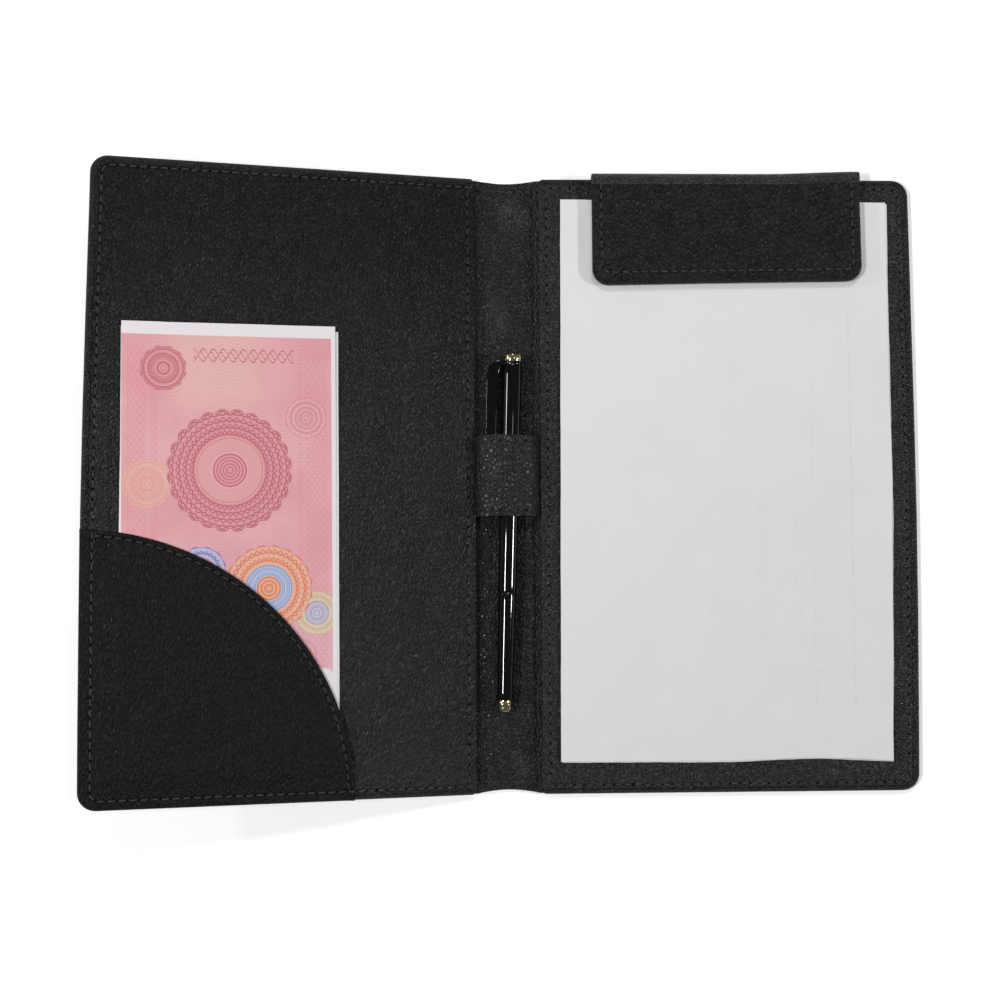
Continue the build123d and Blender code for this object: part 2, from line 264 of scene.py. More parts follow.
# ------------------------------------------------------------------ materials
class Nodes:
    """Short names for making a node tree."""

    def __init__(self, name):
        self.mat = bpy.data.materials.new(name)
        self.mat.use_nodes = True
        self.nt = self.mat.node_tree
        self.nt.nodes.clear()
        self.out = self.nt.nodes.new("ShaderNodeOutputMaterial")
        self.bsdf = self.nt.nodes.new("ShaderNodeBsdfPrincipled")
        self.nt.links.new(self.bsdf.outputs[0], self.out.inputs[0])

    def set(self, **kw):
        for k, v in kw.items():
            key = k.replace("_", " ")
            s = self.bsdf.inputs[key]
            if isinstance(v, bpy.types.NodeSocket):
                self.nt.links.new(v, s)
            elif isinstance(v, (tuple, list)):
                s.default_value = (*v, 1.0) if len(v) == 3 and s.type == "RGBA" else v
            else:
                s.default_value = v
        return self

    def put(self, sock, v):
        if isinstance(v, bpy.types.NodeSocket):
            self.nt.links.new(v, sock)
        elif isinstance(v, (tuple, list)):
            sock.default_value = (*v, 1.0) if sock.type == "RGBA" and len(v) == 3 else v
        else:
            sock.default_value = v

    def flat(self, name="flat_mm"):
        n = self.nt.nodes.new("ShaderNodeAttribute")
        n.attribute_name = name
        return n.outputs["Vector"]

    def math(self, op, a, b=0.0, c=0.0, clamp=False):
        n = self.nt.nodes.new("ShaderNodeMath")
        n.operation = op
        n.use_clamp = clamp
        for s, v in zip(n.inputs, (a, b, c)):
            self.put(s, v)
        return n.outputs[0]

    def vec(self, op, a, b=(0.0, 0.0, 0.0), scale=None):
        n = self.nt.nodes.new("ShaderNodeVectorMath")
        n.operation = op
        self.put(n.inputs[0], a)
        if op == "SCALE":
            self.put(n.inputs["Scale"], scale)
        else:
            self.put(n.inputs[1], b)
        return n.outputs["Value"] if op in ("LENGTH", "DISTANCE", "DOT_PRODUCT") else n.outputs[0]

    def map(self, v, turn=0.0, scale=(1, 1, 1), move=(0, 0, 0)):
        a = self.nt.nodes.new("ShaderNodeMapping")
        a.inputs["Rotation"].default_value = (0, 0, math.radians(turn))
        self.put(a.inputs["Vector"], v)
        b = self.nt.nodes.new("ShaderNodeMapping")
        b.inputs["Scale"].default_value = scale
        b.inputs["Location"].default_value = move
        self.nt.links.new(a.outputs[0], b.inputs["Vector"])
        return b.outputs[0]

    def noise(self, v, scale, detail=2.0, rough=0.5, distort=0.0, colour=False):
        n = self.nt.nodes.new("ShaderNodeTexNoise")
        self.put(n.inputs["Vector"], v)
        n.inputs["Scale"].default_value = scale
        n.inputs["Detail"].default_value = detail
        n.inputs["Roughness"].default_value = rough
        n.inputs["Distortion"].default_value = distort
        return n.outputs["Color" if colour else "Fac"]

    def cells(self, v, scale, feature="F1", random=1.0, smoothness=None, out="Distance"):
        n = self.nt.nodes.new("ShaderNodeTexVoronoi")
        n.feature = feature
        self.put(n.inputs["Vector"], v)
        n.inputs["Scale"].default_value = scale
        n.inputs["Randomness"].default_value = random
        if smoothness is not None:
            n.inputs["Smoothness"].default_value = smoothness
        return n.outputs[out]

    def range(self, v, a, b, c=0.0, d=1.0, smooth=False):
        n = self.nt.nodes.new("ShaderNodeMapRange")
        if smooth:
            n.interpolation_type = "SMOOTHSTEP"
        for s, x in zip(n.inputs, (v, a, b, c, d)):
            self.put(s, x)
        return n.outputs[0]

    def mix(self, f, a, b):
        n = self.nt.nodes.new("ShaderNodeMix")
        n.data_type = "RGBA"
        self.put(n.inputs[0], f)
        self.put(n.inputs[6], a)
        self.put(n.inputs[7], b)
        return n.outputs[2]

    def split(self, v):
        n = self.nt.nodes.new("ShaderNodeSeparateXYZ")
        self.put(n.inputs[0], v)
        return n.outputs[0], n.outputs[1], n.outputs[2]

    def join(self, x, y, z=0.0):
        n = self.nt.nodes.new("ShaderNodeCombineXYZ")
        for s, v in zip(n.inputs, (x, y, z)):
            self.put(s, v)
        return n.outputs[0]

    def bump(self, height, distance, normal=None, strength=1.0):
        n = self.nt.nodes.new("ShaderNodeBump")
        n.inputs["Strength"].default_value = strength
        n.inputs["Distance"].default_value = distance
        self.put(n.inputs["Height"], height)
        if normal is not None:
            self.put(n.inputs["Normal"], normal)
        return n.outputs[0]

    def done(self):
        return self.mat


def leather(name, dark, light, turn=0.0, stretch=1.7, cell=0.82, depth=0.00052, rough=(0.30, 0.42),
            specular=0.45, patch=0.0016, wear=0.0, shine=(), fade=None, crack=0.34):
    """Pebbled leather: cells drawn out one way, fine pores in them, slow unevenness under them."""
    n = Nodes(name)
    p = n.flat()
    warp = n.vec("SUBTRACT", n.noise(p, 0.35, 3, 0.6, colour=True), (0.5, 0.5, 0.5))
    q = n.vec("ADD", n.map(p, turn), n.vec("SCALE", warp, scale=1.0))
    q = n.map(q, 0, (1 / cell, 1 / (cell * stretch), 1 / cell))
    edge = n.cells(q, 1.0, "DISTANCE_TO_EDGE", 0.95)
    dome = n.cells(q, 1.0, "SMOOTH_F1", 0.95, smoothness=0.3)
    tone = n.cells(q, 1.0, "F1", 0.95, out="Color")
    fold = n.noise(n.map(q, 0, (0.5, 0.42, 0.5)), 1.0, 3, 0.6)
    small = n.noise(n.map(q, 0, (3.0, 2.4, 3.0)), 1.0, 2, 0.5)
    grooves = n.range(edge, 0.0, crack, smooth=True)
    h = n.math("MULTIPLY", grooves, 0.75)
    h = n.math("MULTIPLY_ADD", n.math("SUBTRACT", 1.0, n.math("MULTIPLY", dome, dome)), 0.55, h)
    h = n.math("MULTIPLY_ADD", small, 0.02, h)
    h = n.math("MULTIPLY_ADD", fold, 0.35, h)
    slow = n.noise(p, 0.045, 2, 0.5)
    blotch = n.noise(n.map(p, turn, (0.16, 0.09, 0.1)), 1.0, 3, 0.55)
    b = n.bump(slow, patch)
    b = n.bump(h, depth, b)
    cell_tone, _, _ = n.split(tone)
    shade = n.math("MULTIPLY_ADD", cell_tone, 0.25, n.math("MULTIPLY", grooves, 0.60))
    shade = n.math("MULTIPLY_ADD", n.range(blotch, 0.3, 0.7), 0.2, shade, clamp=True)
    colour = n.mix(shade, dark, light)
    if wear:
        geo = n.nt.nodes.new("ShaderNodeNewGeometry")
        rub = n.range(geo.outputs["Pointiness"], 0.53, 0.62, smooth=True)
        rub = n.math("MULTIPLY", rub, n.range(n.noise(p, 0.3, 3), 0.45, 0.7))
        colour = n.mix(n.math("MULTIPLY", rub, wear, clamp=True), colour, tuple(min(1, c * 3.2) for c in light))
    r = n.math("MULTIPLY_ADD", n.range(blotch, 0.3, 0.7), rough[1] - rough[0], rough[0])
    r = n.math("MULTIPLY_ADD", n.math("SUBTRACT", 1.0, grooves), 0.2, r)
    if shine:
        # creased, glossier patches whose colour is also lightened as a painted sheen: (x, y, half width, half height,
        # strength)
        fx, fy, _ = n.split(p)
        crease_and_sheen = None
        for cx, cy, rx, ry, amt in shine:
            dx = n.math("MULTIPLY", n.math("SUBTRACT", fx, cx), 1.0 / rx)
            dy = n.math("MULTIPLY", n.math("SUBTRACT", fy, cy), 1.0 / ry)
            d = n.math("SQRT", n.math("MULTIPLY_ADD", dx, dx, n.math("MULTIPLY", dy, dy)))
            m = n.math("MULTIPLY", n.range(n.math("MULTIPLY_ADD", n.noise(p, 0.25, 3), 0.7, d), 0.75, 1.45, 1.0, 0.0, smooth=True), amt)
            crease_and_sheen = m if crease_and_sheen is None else n.math("MAXIMUM", crease_and_sheen, m)
        crinkle = n.noise(n.map(p, 32, (0.95, 0.42, 1.0)), 0.85, 2, 0.5, 0.6)
        b = n.bump(n.math("MULTIPLY", n.math("ABSOLUTE", n.math("SUBTRACT", crinkle, 0.5)), crease_and_sheen), 0.0030, b)
        r = n.math("MULTIPLY_ADD", crease_and_sheen, -0.10, r)
        # painted sheen: in the patches the colour is pulled towards five times the leather's light tone
        colour = n.mix(n.math("MULTIPLY", n.math("MULTIPLY", crease_and_sheen, 0.75), n.range(crinkle, 0.38, 0.62, 0.25, 1.0)), colour, tuple(c * 5.0 for c in light))
    if fade:
        # painted shade: towards larger y the colour is painted darker and the specular level lowered, for the light
        # falling off there: (y where it starts, y where it is full, strength)
        _, fy, _ = n.split(p)
        painted_end_shade = n.range(n.math("MULTIPLY_ADD", n.noise(p, 0.03, 2), 30.0, fy), fade[0] + 15, fade[1] + 15, 0.0, fade[2], smooth=True)
        colour = n.mix(painted_end_shade, colour, dark)
        specular = n.math("MULTIPLY", n.math("SUBTRACT", 1.0, painted_end_shade), specular)
    n.set(Base_Color=colour, Roughness=r, Normal=b, Specular_IOR_Level=specular, IOR=1.48)
    return n.done()


def thread(name, colour, rough=0.45):
    """Twisted sewing thread; its flat_mm holds the distance along it and round it."""
    n = Nodes(name)
    p = n.flat()
    x, y, _ = n.split(p)
    ply = n.math("SINE", n.math("MULTIPLY_ADD", x, 9.0, n.math("MULTIPLY", y, 2.0)))
    fuzz = n.noise(p, 3.0, 3)
    c = n.mix(n.range(ply, -1, 1), tuple(k * 0.45 for k in colour), colour)
    c = n.mix(n.math("MULTIPLY", fuzz, 0.35), c, tuple(k * 1.7 for k in colour))
    n.set(Base_Color=c, Roughness=n.math("MULTIPLY_ADD", fuzz, 0.3, rough),
          Normal=n.bump(ply, 0.00006), Specular_IOR_Level=0.45)
    return n.done()


# near-black discs for the needle holes: painted shade for the shadow inside each hole
def hole(name):
    n = Nodes(name)
    n.set(Base_Color=n.mix(n.noise(n.flat(), 2.0), (0.001, 0.001, 0.001), (0.004, 0.004, 0.004)),
          Roughness=0.9, Specular_IOR_Level=0.05)
    return n.done()


LEFT_DARK, LEFT_LIGHT = (0.0022, 0.0024, 0.0023), (0.0080, 0.0084, 0.0081)
RIGHT_DARK, RIGHT_LIGHT = (0.0034, 0.0036, 0.0046), (0.0112, 0.0120, 0.0150)
# fade paints shade over the upper end of the front cover's inner panel
M_LEFT = leather("leather_front", LEFT_DARK, LEFT_LIGHT, turn=24, stretch=2.4, cell=0.92, depth=0.00074,
                rough=(0.29, 0.41), specular=0.50, wear=0.3, fade=(15, 105, 0.42))
M_RIGHT = leather("leather_back", RIGHT_DARK, RIGHT_LIGHT, turn=38, stretch=1.4, cell=0.95, depth=0.00046,
                 specular=0.52, wear=0.3)
M_SPINE = leather("leather_spine", LEFT_DARK, (0.0095, 0.0100, 0.0097), turn=-14, stretch=1.25, cell=1.2, depth=0.00060,
                  rough=(0.30, 0.42), specular=0.42, patch=0.0040,
                  shine=((3.0, 100.0, 7.0, 7.5, 1.0), (-3.5, 62.0, 6.0, 9.0, 0.55), (5.0, -104.0, 5.0, 5.0, 0.4)))
# the crease strips' leather: the spine's leather with a shallower grain, its light tone painted a little darker as
# painted shade in the creases
M_CREASE = leather("leather_crease", LEFT_DARK, (0.0085, 0.0090, 0.0088), turn=-14, stretch=1.25, cell=1.2, depth=0.00024,
                   rough=(0.34, 0.45), patch=0.0010)
M_LOOP = leather("leather_loop", (0.0011, 0.0012, 0.0012), (0.0088, 0.0093, 0.0095), turn=0, stretch=1.5, cell=1.25, depth=0.00042,
                 rough=(0.36, 0.44), specular=0.42, crack=0.25)
M_FLAP = leather("leather_flap", (0.0014, 0.0017, 0.0017), (0.0095, 0.0105, 0.0105), turn=20, stretch=1.7, cell=1.35, depth=0.00066,
                 rough=(0.34, 0.44), specular=0.26, wear=0.3)
M_OUTER = leather("leather_outer", LEFT_DARK, LEFT_LIGHT, turn=10, wear=0.6)
M_THREAD = thread("thread_black", (0.030, 0.030, 0.032), rough=0.3)
# a lighter copy of the black thread, used on the flap and the front seam: painted glints on its stitches
M_THREAD_GLINT = thread("thread_painted_glint", (0.040, 0.042, 0.042), rough=0.22)
M_HOLE_SHADE = hole("needle_hole_painted_shade")


# ------------------------------------------------------------------ stitches
def stitches(name, path, body, front=False, ups=None, pitch=3.6, gap=0.75, width=0.5, height=0.36, dip=0.24,
             lean=0.07, replaces=(), w=None, holes=True, seed=1, mats=None, bow=False):
    """Separate stitches along a path of points on the leather, with dark discs between them that paint the shade inside
    the needle holes.
    """
    rng = np.random.default_rng(seed)
    path = np.asarray(path, float)
    ups = np.tile([0, 0, 1.0], (len(path), 1)) if ups is None else np.asarray(ups, float)
    seg = np.linalg.norm(np.diff(path, axis=0), axis=1)
    s = np.concatenate([[0], np.cumsum(seg)])
    total = s[-1]
    count = max(1, int(round(total / pitch)))
    marks = np.linspace(0, total, count + 1)
    both = np.column_stack([path, ups])

    def at(q):
        return np.stack([np.interp(q, s, both[:, i]) for i in range(6)], -1)

    verts, faces, flat, kind = [], [], [], []
    around, along = 8, 7
    ang = np.linspace(0, 2 * np.pi, around, endpoint=False)
    for k in range(count):
        a, b = marks[k] + gap / 2, marks[k + 1] - gap / 2
        a += rng.uniform(-0.1, 0.1)
        b += rng.uniform(-0.1, 0.1)
        q = np.linspace(a, b, along)
        pu = at(q)
        p, u = pu[:, :3], pu[:, 3:]
        t = np.gradient(p, axis=0)
        t /= np.linalg.norm(t, axis=1)[:, None] + 1e-12
        u = u - (u * t).sum(1)[:, None] * t
        u /= np.linalg.norm(u, axis=1)[:, None] + 1e-12
        side = np.cross(t, u)
        f = np.linspace(-1, 1, along)
        drop = dip * np.abs(f) ** 3
        size = np.sqrt(np.clip(1 - (np.abs(f) * 0.93) ** 4, 0.05, 1))
        tilt = lean * rng.uniform(0.6, 1.4) * f
        base = len(verts)
        for i in range(along):
            c = p[i] - u[i] * drop[i] + side[i] * tilt[i]
            for g in ang:
                verts.append(c + side[i] * math.cos(g) * width / 2 * size[i] + u[i] * math.sin(g) * height / 2 * size[i])
                flat.append((q[i], g, k * 0.37))
        for i in range(along - 1):
            for j in range(around):
                m = (j + 1) % around
                faces.append((base + i * around + j, base + i * around + m, base + (i + 1) * around + m, base + (i + 1) * around + j))
                kind.append(0)
        faces.append(tuple(base + j for j in reversed(range(around))))
        faces.append(tuple(base + (along - 1) * around + j for j in range(around)))
        kind += [0, 0]
    # dark discs sunk at the needle holes: painted shade
    if holes:
        for k in range(1, count):
            pu = at(np.array([marks[k] - 0.05, marks[k], marks[k] + 0.05]))
            t = pu[2, :3] - pu[0, :3]
            t /= np.linalg.norm(t)
            u = pu[1, 3:] / np.linalg.norm(pu[1, 3:])
            side = np.cross(t, u)
            c = pu[1, :3] - u * 0.055
            base = len(verts)
            verts.append(c - u * 0.05)
            flat.append((marks[k], 0, 9))
            for g in ang:
                verts.append(c + t * math.cos(g) * 0.56 + side * math.sin(g) * 0.32)
                flat.append((marks[k], g, 9))
            for j in range(around):
                faces.append((base, base + 1 + j, base + 1 + (j + 1) % around))
                kind.append(1)
    verts = np.array(verts)
    weights = w(verts) if callable(w) else w
    ob = build(name, verts, faces, mats or [M_THREAD, M_HOLE_SHADE], body, front=front, flat=flat, kind=kind, w=weights,
               sharp=70, bow=bow)
    if replaces:
        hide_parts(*replaces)
    return ob


def hole_marks(path, pitch=3.6):
    path = np.asarray(path, float)
    seg = np.linalg.norm(np.diff(path, axis=0), axis=1)
    s = np.concatenate([[0], np.cumsum(seg)])
    count = max(1, int(round(s[-1] / pitch)))
    marks = np.linspace(0, s[-1], count + 1)
    return np.stack([np.interp(marks, s, path[:, i]) for i in range(2)], 1)


def pits(x, y, marks, size=0.6):
    """1 at a needle hole, falling to 0 round it."""
    out = np.zeros(len(x))
    for i in range(0, len(x), 4000):
        d2 = (x[i:i + 4000, None] - marks[None, :, 0]) ** 2 + (y[i:i + 4000, None] - marks[None, :, 1]) ** 2
        out[i:i + 4000] = np.exp(-d2.min(1) / size ** 2)
    return out


# ------------------------------------------------------------------ covers
EDGE_IN = np.array([2.9, 2.4, 2.05, 0.0])      # outer, top, bottom, spine side: the inner panel's edge
SEAM_IN = np.array([4.1, 3.6, 3.2, 2.8])       # its stitch lines
SEAM_R = 3.1
PANEL_Z = 3.17


def seam_distance(x, y):
    """Distance inside the stitch line that runs round a cover's three outer sides."""
    cy = (SEAM_IN[2] - SEAM_IN[1]) / 2
    h = COVER_Y - (SEAM_IN[1] + SEAM_IN[2]) / 2
    return rounded_distance(x, np.abs(y - cy), COVER_X1 - SEAM_IN[0], h, SEAM_R)


def outer_seam_path(x_start=None):
    x0 = COVER_X0 + 1.0 if x_start is None else x_start
    x1, y0, y1, r = COVER_X1 - SEAM_IN[0], -COVER_Y + SEAM_IN[2], COVER_Y - SEAM_IN[1], SEAM_R
    return np.concatenate([
        np.stack([np.linspace(x0, x1 - r, 140), np.full(140, y0)], 1),
        arc(x1 - r, y0 + r, r, -90, 0, 9)[1:],
        np.stack([np.full(220, x1), np.linspace(y0 + r, y1 - r, 220)], 1)[1:],
        arc(x1 - r, y1 - r, r, 0, 90, 9)[1:],
        np.stack([np.linspace(x1 - r, COVER_X0 + 1.0, 140), np.full(140, y1)], 1)[1:],
    ])


def spine_seam_path():
    x = COVER_X0 + SEAM_IN[3]
    return np.stack([np.full(200, x), np.linspace(-COVER_Y + 4.0, COVER_Y - 4.2, 200)], 1)


def panel_height(marks, seed):
    def height(x, y, pitted=True, z=PANEL_Z):
        x, y = np.asarray(x, float), np.asarray(y, float)
        d = seam_distance(x, y)
        s = x - COVER_X0
        out = np.full(len(x), z)
        out -= 0.30 * bump(d, 0, 0.6)
        out -= 0.30 * bump(s, SEAM_IN[3], 0.6)
        near = (np.abs(d) < 1.6) | (np.abs(s - SEAM_IN[3]) < 1.6)
        if near.any() and pitted:
            out[near] -= 0.22 * pits(x[near], y[near], marks)
        inner = smooth((np.minimum(d, s - SEAM_IN[3]) - 1.0) / 8)
        out -= 0.055 * inner * (1 + wobble(x, y, 31.0, seed))
        return out
    return height


def cover(which, front, seed):
    sign_body = "front_cover" if front else "back_cover"
    outer_mat = M_OUTER
    lining_mat = M_LEFT if front else M_RIGHT
    # wrapped outer leather: underside, rounded edge, turned-in hem
    prof = [
        ((7, 7, 7, 5), 0.0), ((1.0, 1.0, 1.0, .7), 0.0), ((.45, .45, .45, .3), .05), ((.12, .12, .12, .1), .28),
        ((0, 0, 0, 0), .55), ((0, 0, 0, .66), .64), ((0, 0, 0, .66), 1.2), ((0, 0, 0, .66), 1.75),
        ((.1, .1, .1, .66), 2.2), ((.38, .38, .38, .68), 2.53), ((.8, .8, .8, .72), 2.73), ((1.25, 1.2, 1.15, .78), 2.79),
        ((1.75, 1.6, 1.45, .84), 2.72), ((2.2, 1.9, 1.7, .9), 2.5), ((2.6, 2.2, 1.95, .95), 2.36),
        ((4.5, 4, 4, 1.6), 2.34), ((8, 8, 8, 3), 2.34)]
    rings = []
    for i, (ins, z) in enumerate(prof):
        xy = cover_outline(*ins, step=1.6)
        zz = np.full(len(xy), z)
        if 7 <= i <= 13:
            zz = zz + 0.05 * wobble(xy[:, 0], xy[:, 1], 7.0, seed) * (1 - abs(i - 11) / 5)
        rings.append(np.column_stack([xy, zz]))
    n = len(rings[0])
    v, f = loft(rings)
    v, f = capped(v, f, 0, n, rings[0][:, :2], lambda x, y: np.zeros(len(x)), 9.0, up=False)
    v, f = capped(v, f, (len(rings) - 1) * n, n, rings[-1][:, :2], lambda x, y: np.full(len(x), 2.34), 22.0)
    flat = v.copy()
    skin = build(f"{which}_outer_leather", v, f, outer_mat, sign_body, front=front, flat=flat, bow=True)
    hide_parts(f"{which}_outer_skin", f"{which}_board", f"{which}_foam")

    # inner panel, with its folded edge along the spine
    seam, inner = outer_seam_path(), spine_seam_path()
    marks = np.concatenate([hole_marks(seam), hole_marks(inner)])
    height = panel_height(marks, seed)
    xy = cover_outline(6, 6, 6, 3.2, step=0.9)
    rings = [np.column_stack([xy, np.full(len(xy), 2.35)])]
    for fr, drop, z in ((.1, None, 2.35), (0, None, 2.42), (0, None, 2.62), (0, None, 2.8), (.035, .2, None), (.1, .1, None),
                        (.2, .035, None), (.34, 0, None), (.5, 0, None), (.66, 0, None), (.8, 0, None), (.9, 0, None), (1.0, 0, None)):
        xy = cover_outline(*(EDGE_IN + fr * (SEAM_IN - EDGE_IN)), step=0.9)
        zz = np.full(len(xy), z) if z is not None else height(xy[:, 0], xy[:, 1]) - drop
        rings.append(np.column_stack([xy, zz]))
    for e in (.15, .3, .5, .75, 1.1, 1.6, 2.4, 3.6):
        xy = cover_outline(*(SEAM_IN + e), step=0.9)
        rings.append(np.column_stack([xy, height(xy[:, 0], xy[:, 1])]))
    n = len(rings[0])
    v, f = loft(rings)
    v, f = capped(v, f, 0, n, rings[0][:, :2], lambda x, y: np.full(len(x), 2.35), 25.0, up=False)
    v, f = capped(v, f, (len(rings) - 1) * n, n, rings[-1][:, :2], height, 2.4)
    panel = build(f"{which}_inner_panel", v, f, lining_mat, sign_body, front=front, bow=True)
    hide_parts(f"{which}_lining")

    # the panel's edge turned down over the board along the spine
    sec = [(0.9, 0.66), (0.35, 0.64), (0.1, 0.75), (0.02, 0.98), (0.0, 1.4), (0.0, 2.0), (0.01, 2.6), (0.9, 2.7)]
    ys = np.concatenate([[-111.7, -111.6, -111.3, -110.7], np.linspace(-109, 109, 120), [110.5, 111.1, 111.4, 111.5]])
    rings = []
    for i, y in enumerate(ys):
        edge = min(i, len(ys) - 1 - i)
        k = (0.25, 0.7, 0.92, 1.0)[min(edge, 3)]
        rings.append([(COVER_X0 + 0.9 - (0.9 - a) * k, y, 0.66 + (b - 0.66) * (0.6 + 0.4 * k)) for a, b in sec])
    rings = [np.array(r) for r in rings]
    v, f = loft(rings)
    m = len(sec)
    f.append(tuple(reversed(range(m))))
    f.append(tuple(range((len(rings) - 1) * m, len(rings) * m)))
    flat = v.copy()
    flat[:, 0] = COVER_X0 - (3.0 - v[:, 2])
    build(f"{which}_panel_fold", v, f, lining_mat, sign_body, front=front, flat=flat, flip=True)
    return height, seam, inner


def on_panel(path, height, extra=0.0):
    return np.column_stack([path, height(path[:, 0], path[:, 1], pitted=False) + extra])


# ------------------------------------------------------------------ pocket
def pocket_arc_distance(x, y):
    """Distance inside the pocket's quarter-round edge."""
    return POCKET_R - np.hypot(x - POCKET_C[0], y - POCKET_C[1])


def pocket_outline(o, b, a, step=0.9):
    """o, b and a draw the pocket's outline in at its outer side, bottom and curved edge."""
    x1, y0 = COVER_X1 - o, -COVER_Y + b
    r = POCKET_R - a
    cx, cy = POCKET_C
    rc = max(COVER_R - min(o, b), 0.3)
    xa = cx - math.sqrt(r * r - (y0 - cy) ** 2)          # where the arc meets the bottom
    ya = cy + math.sqrt(r * r - (x1 - cx) ** 2)          # where it meets the outer side
    a0 = math.degrees(math.atan2(ya - cy, x1 - cx))
    a1 = math.degrees(math.atan2(y0 - cy, xa - cx))
    nb, nr, na = int(90 / step), int(90 / step), int(150 / step)
    return np.concatenate([
        line((xa, y0), (x1 - rc, y0), nb),
        arc(x1 - rc, y0 + rc, rc, -90, 0, 10),
        line((x1, y0 + rc), (x1, ya), nr),
        arc(cx, cy, r, a0, a1, na),
    ])


def pocket_height(marks):
    def height(x, y, pitted=True):
        x, y = np.asarray(x, float), np.asarray(y, float)
        d = seam_distance(x, y)
        a = pocket_arc_distance(x, y)
        rise = 3.50 + 1.15 * smooth((d - 0.3) / 11.0)      # over the notes
        hem = 3.50 - 0.12 * smooth((-d - 0.6) / 1.6)
        out = np.where(d > 0, rise, hem)
        out -= 0.28 * bump(d, 0, 0.6)
        out -= 0.28 * bump(a, 2.1, 0.55)
        out += 0.05 * bump(a, 1.0, 0.6)
        near = (np.abs(d) < 1.6) | (np.abs(a - 2.1) < 1.6)
        if near.any() and pitted:
            out[near] -= 0.16 * pits(x[near], y[near], marks)
        inner = smooth((np.minimum(d, a - 2.1) - 1.5) / 12)
        out += 0.16 * inner * wobble(x, y, 24.0, 3.3) + 0.05 * inner * wobble(x, y, 8.0, 5.1)
        # a few short pinched creases near the top outer corner
        for cx, cy, ang, ln, am in ((137.5, -31, 84, 5.0, .16), (135.2, -36, 97, 4.2, .14), (138.6, -38, 88, 3.2, .11), (133.4, -29.5, 78, 3.0, .09)):
            c, s = math.cos(math.radians(ang)), math.sin(math.radians(ang))
            u = (x - cx) * c + (y - cy) * s
            v = -(x - cx) * s + (y - cy) * c
            out += am * np.exp(-(u / ln) ** 2) * (np.exp(-((v - .5) / .6) ** 2) - np.exp(-((v + .6) / .6) ** 2))
        return out
    return height


def make_pocket(height):
    # (outer, bottom, arc) insets, height at the sides, height under the top face at the arc
    prof = [
        (9.0, 9.0, 1.6, None, -.80), (5.4, 4.8, .9, None, -.79), (1.5, 1.5, .4, 2.45, -.76), (.5, .5, .1, 2.1, -.66),
        (-.02, -.02, 0, 1.35, -.50), (-.14, -.14, -.02, 1.75, -.36), (-.13, -.13, .03, 2.3, -.2), (0, 0, .14, 2.75, -.08),
        (.3, .3, .34, 3.12, -.01), (.75, .7, .6, 3.31, 0), (1.3, 1.15, .9, 3.38, 0)]
    inner = [(2.0, 1.6, 1.2), (2.7, 2.1, 1.5), (3.2, 2.45, 1.7), (3.55, 2.75, 1.86), (3.85, 2.98, 1.98), (4.1, 3.2, 2.1),
             (4.35, 3.42, 2.22), (4.65, 3.7, 2.36), (5.0, 4.05, 2.55), (5.5, 4.5, 2.9), (6.2, 5.2, 3.5), (7.2, 6.2, 4.4)]
    rings = []
    for o, b, a, z, under in prof:
        xy = pocket_outline(o, b, a)
        top = height(xy[:, 0], xy[:, 1])
        ac = pocket_arc_distance(xy[:, 0], xy[:, 1]) - a
        w = 1 - smooth(np.abs(ac) / 3.0)                     # 1 on the curved edge
        side = top + under if z is None else np.full(len(xy), z)
        rings.append(np.column_stack([xy, side * (1 - w) + (top + under) * w]))
    for o, b, a in inner:
        xy = pocket_outline(o, b, a)
        rings.append(np.column_stack([xy, height(xy[:, 0], xy[:, 1])]))
    n = len(rings[0])
    v, f = loft(rings)
    v, f = capped(v, f, 0, n, rings[0][:, :2], lambda x, y: height(x, y) - 0.8, 9.0, up=False)
    v, f = capped(v, f, (len(rings) - 1) * n, n, rings[-1][:, :2], height, 1.7)
    ob = build("pocket_leather", v, f, M_POCKET, "front_cover", front=True, bow=True)
    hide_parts("cash_pocket")
    return ob


# ------------------------------------------------------------------ spine, creases, pen loop
def spine_end(x):
    return 114.3 - 1.4 * (1 - np.minimum(np.abs(x) / 11.3, 1) ** 2)


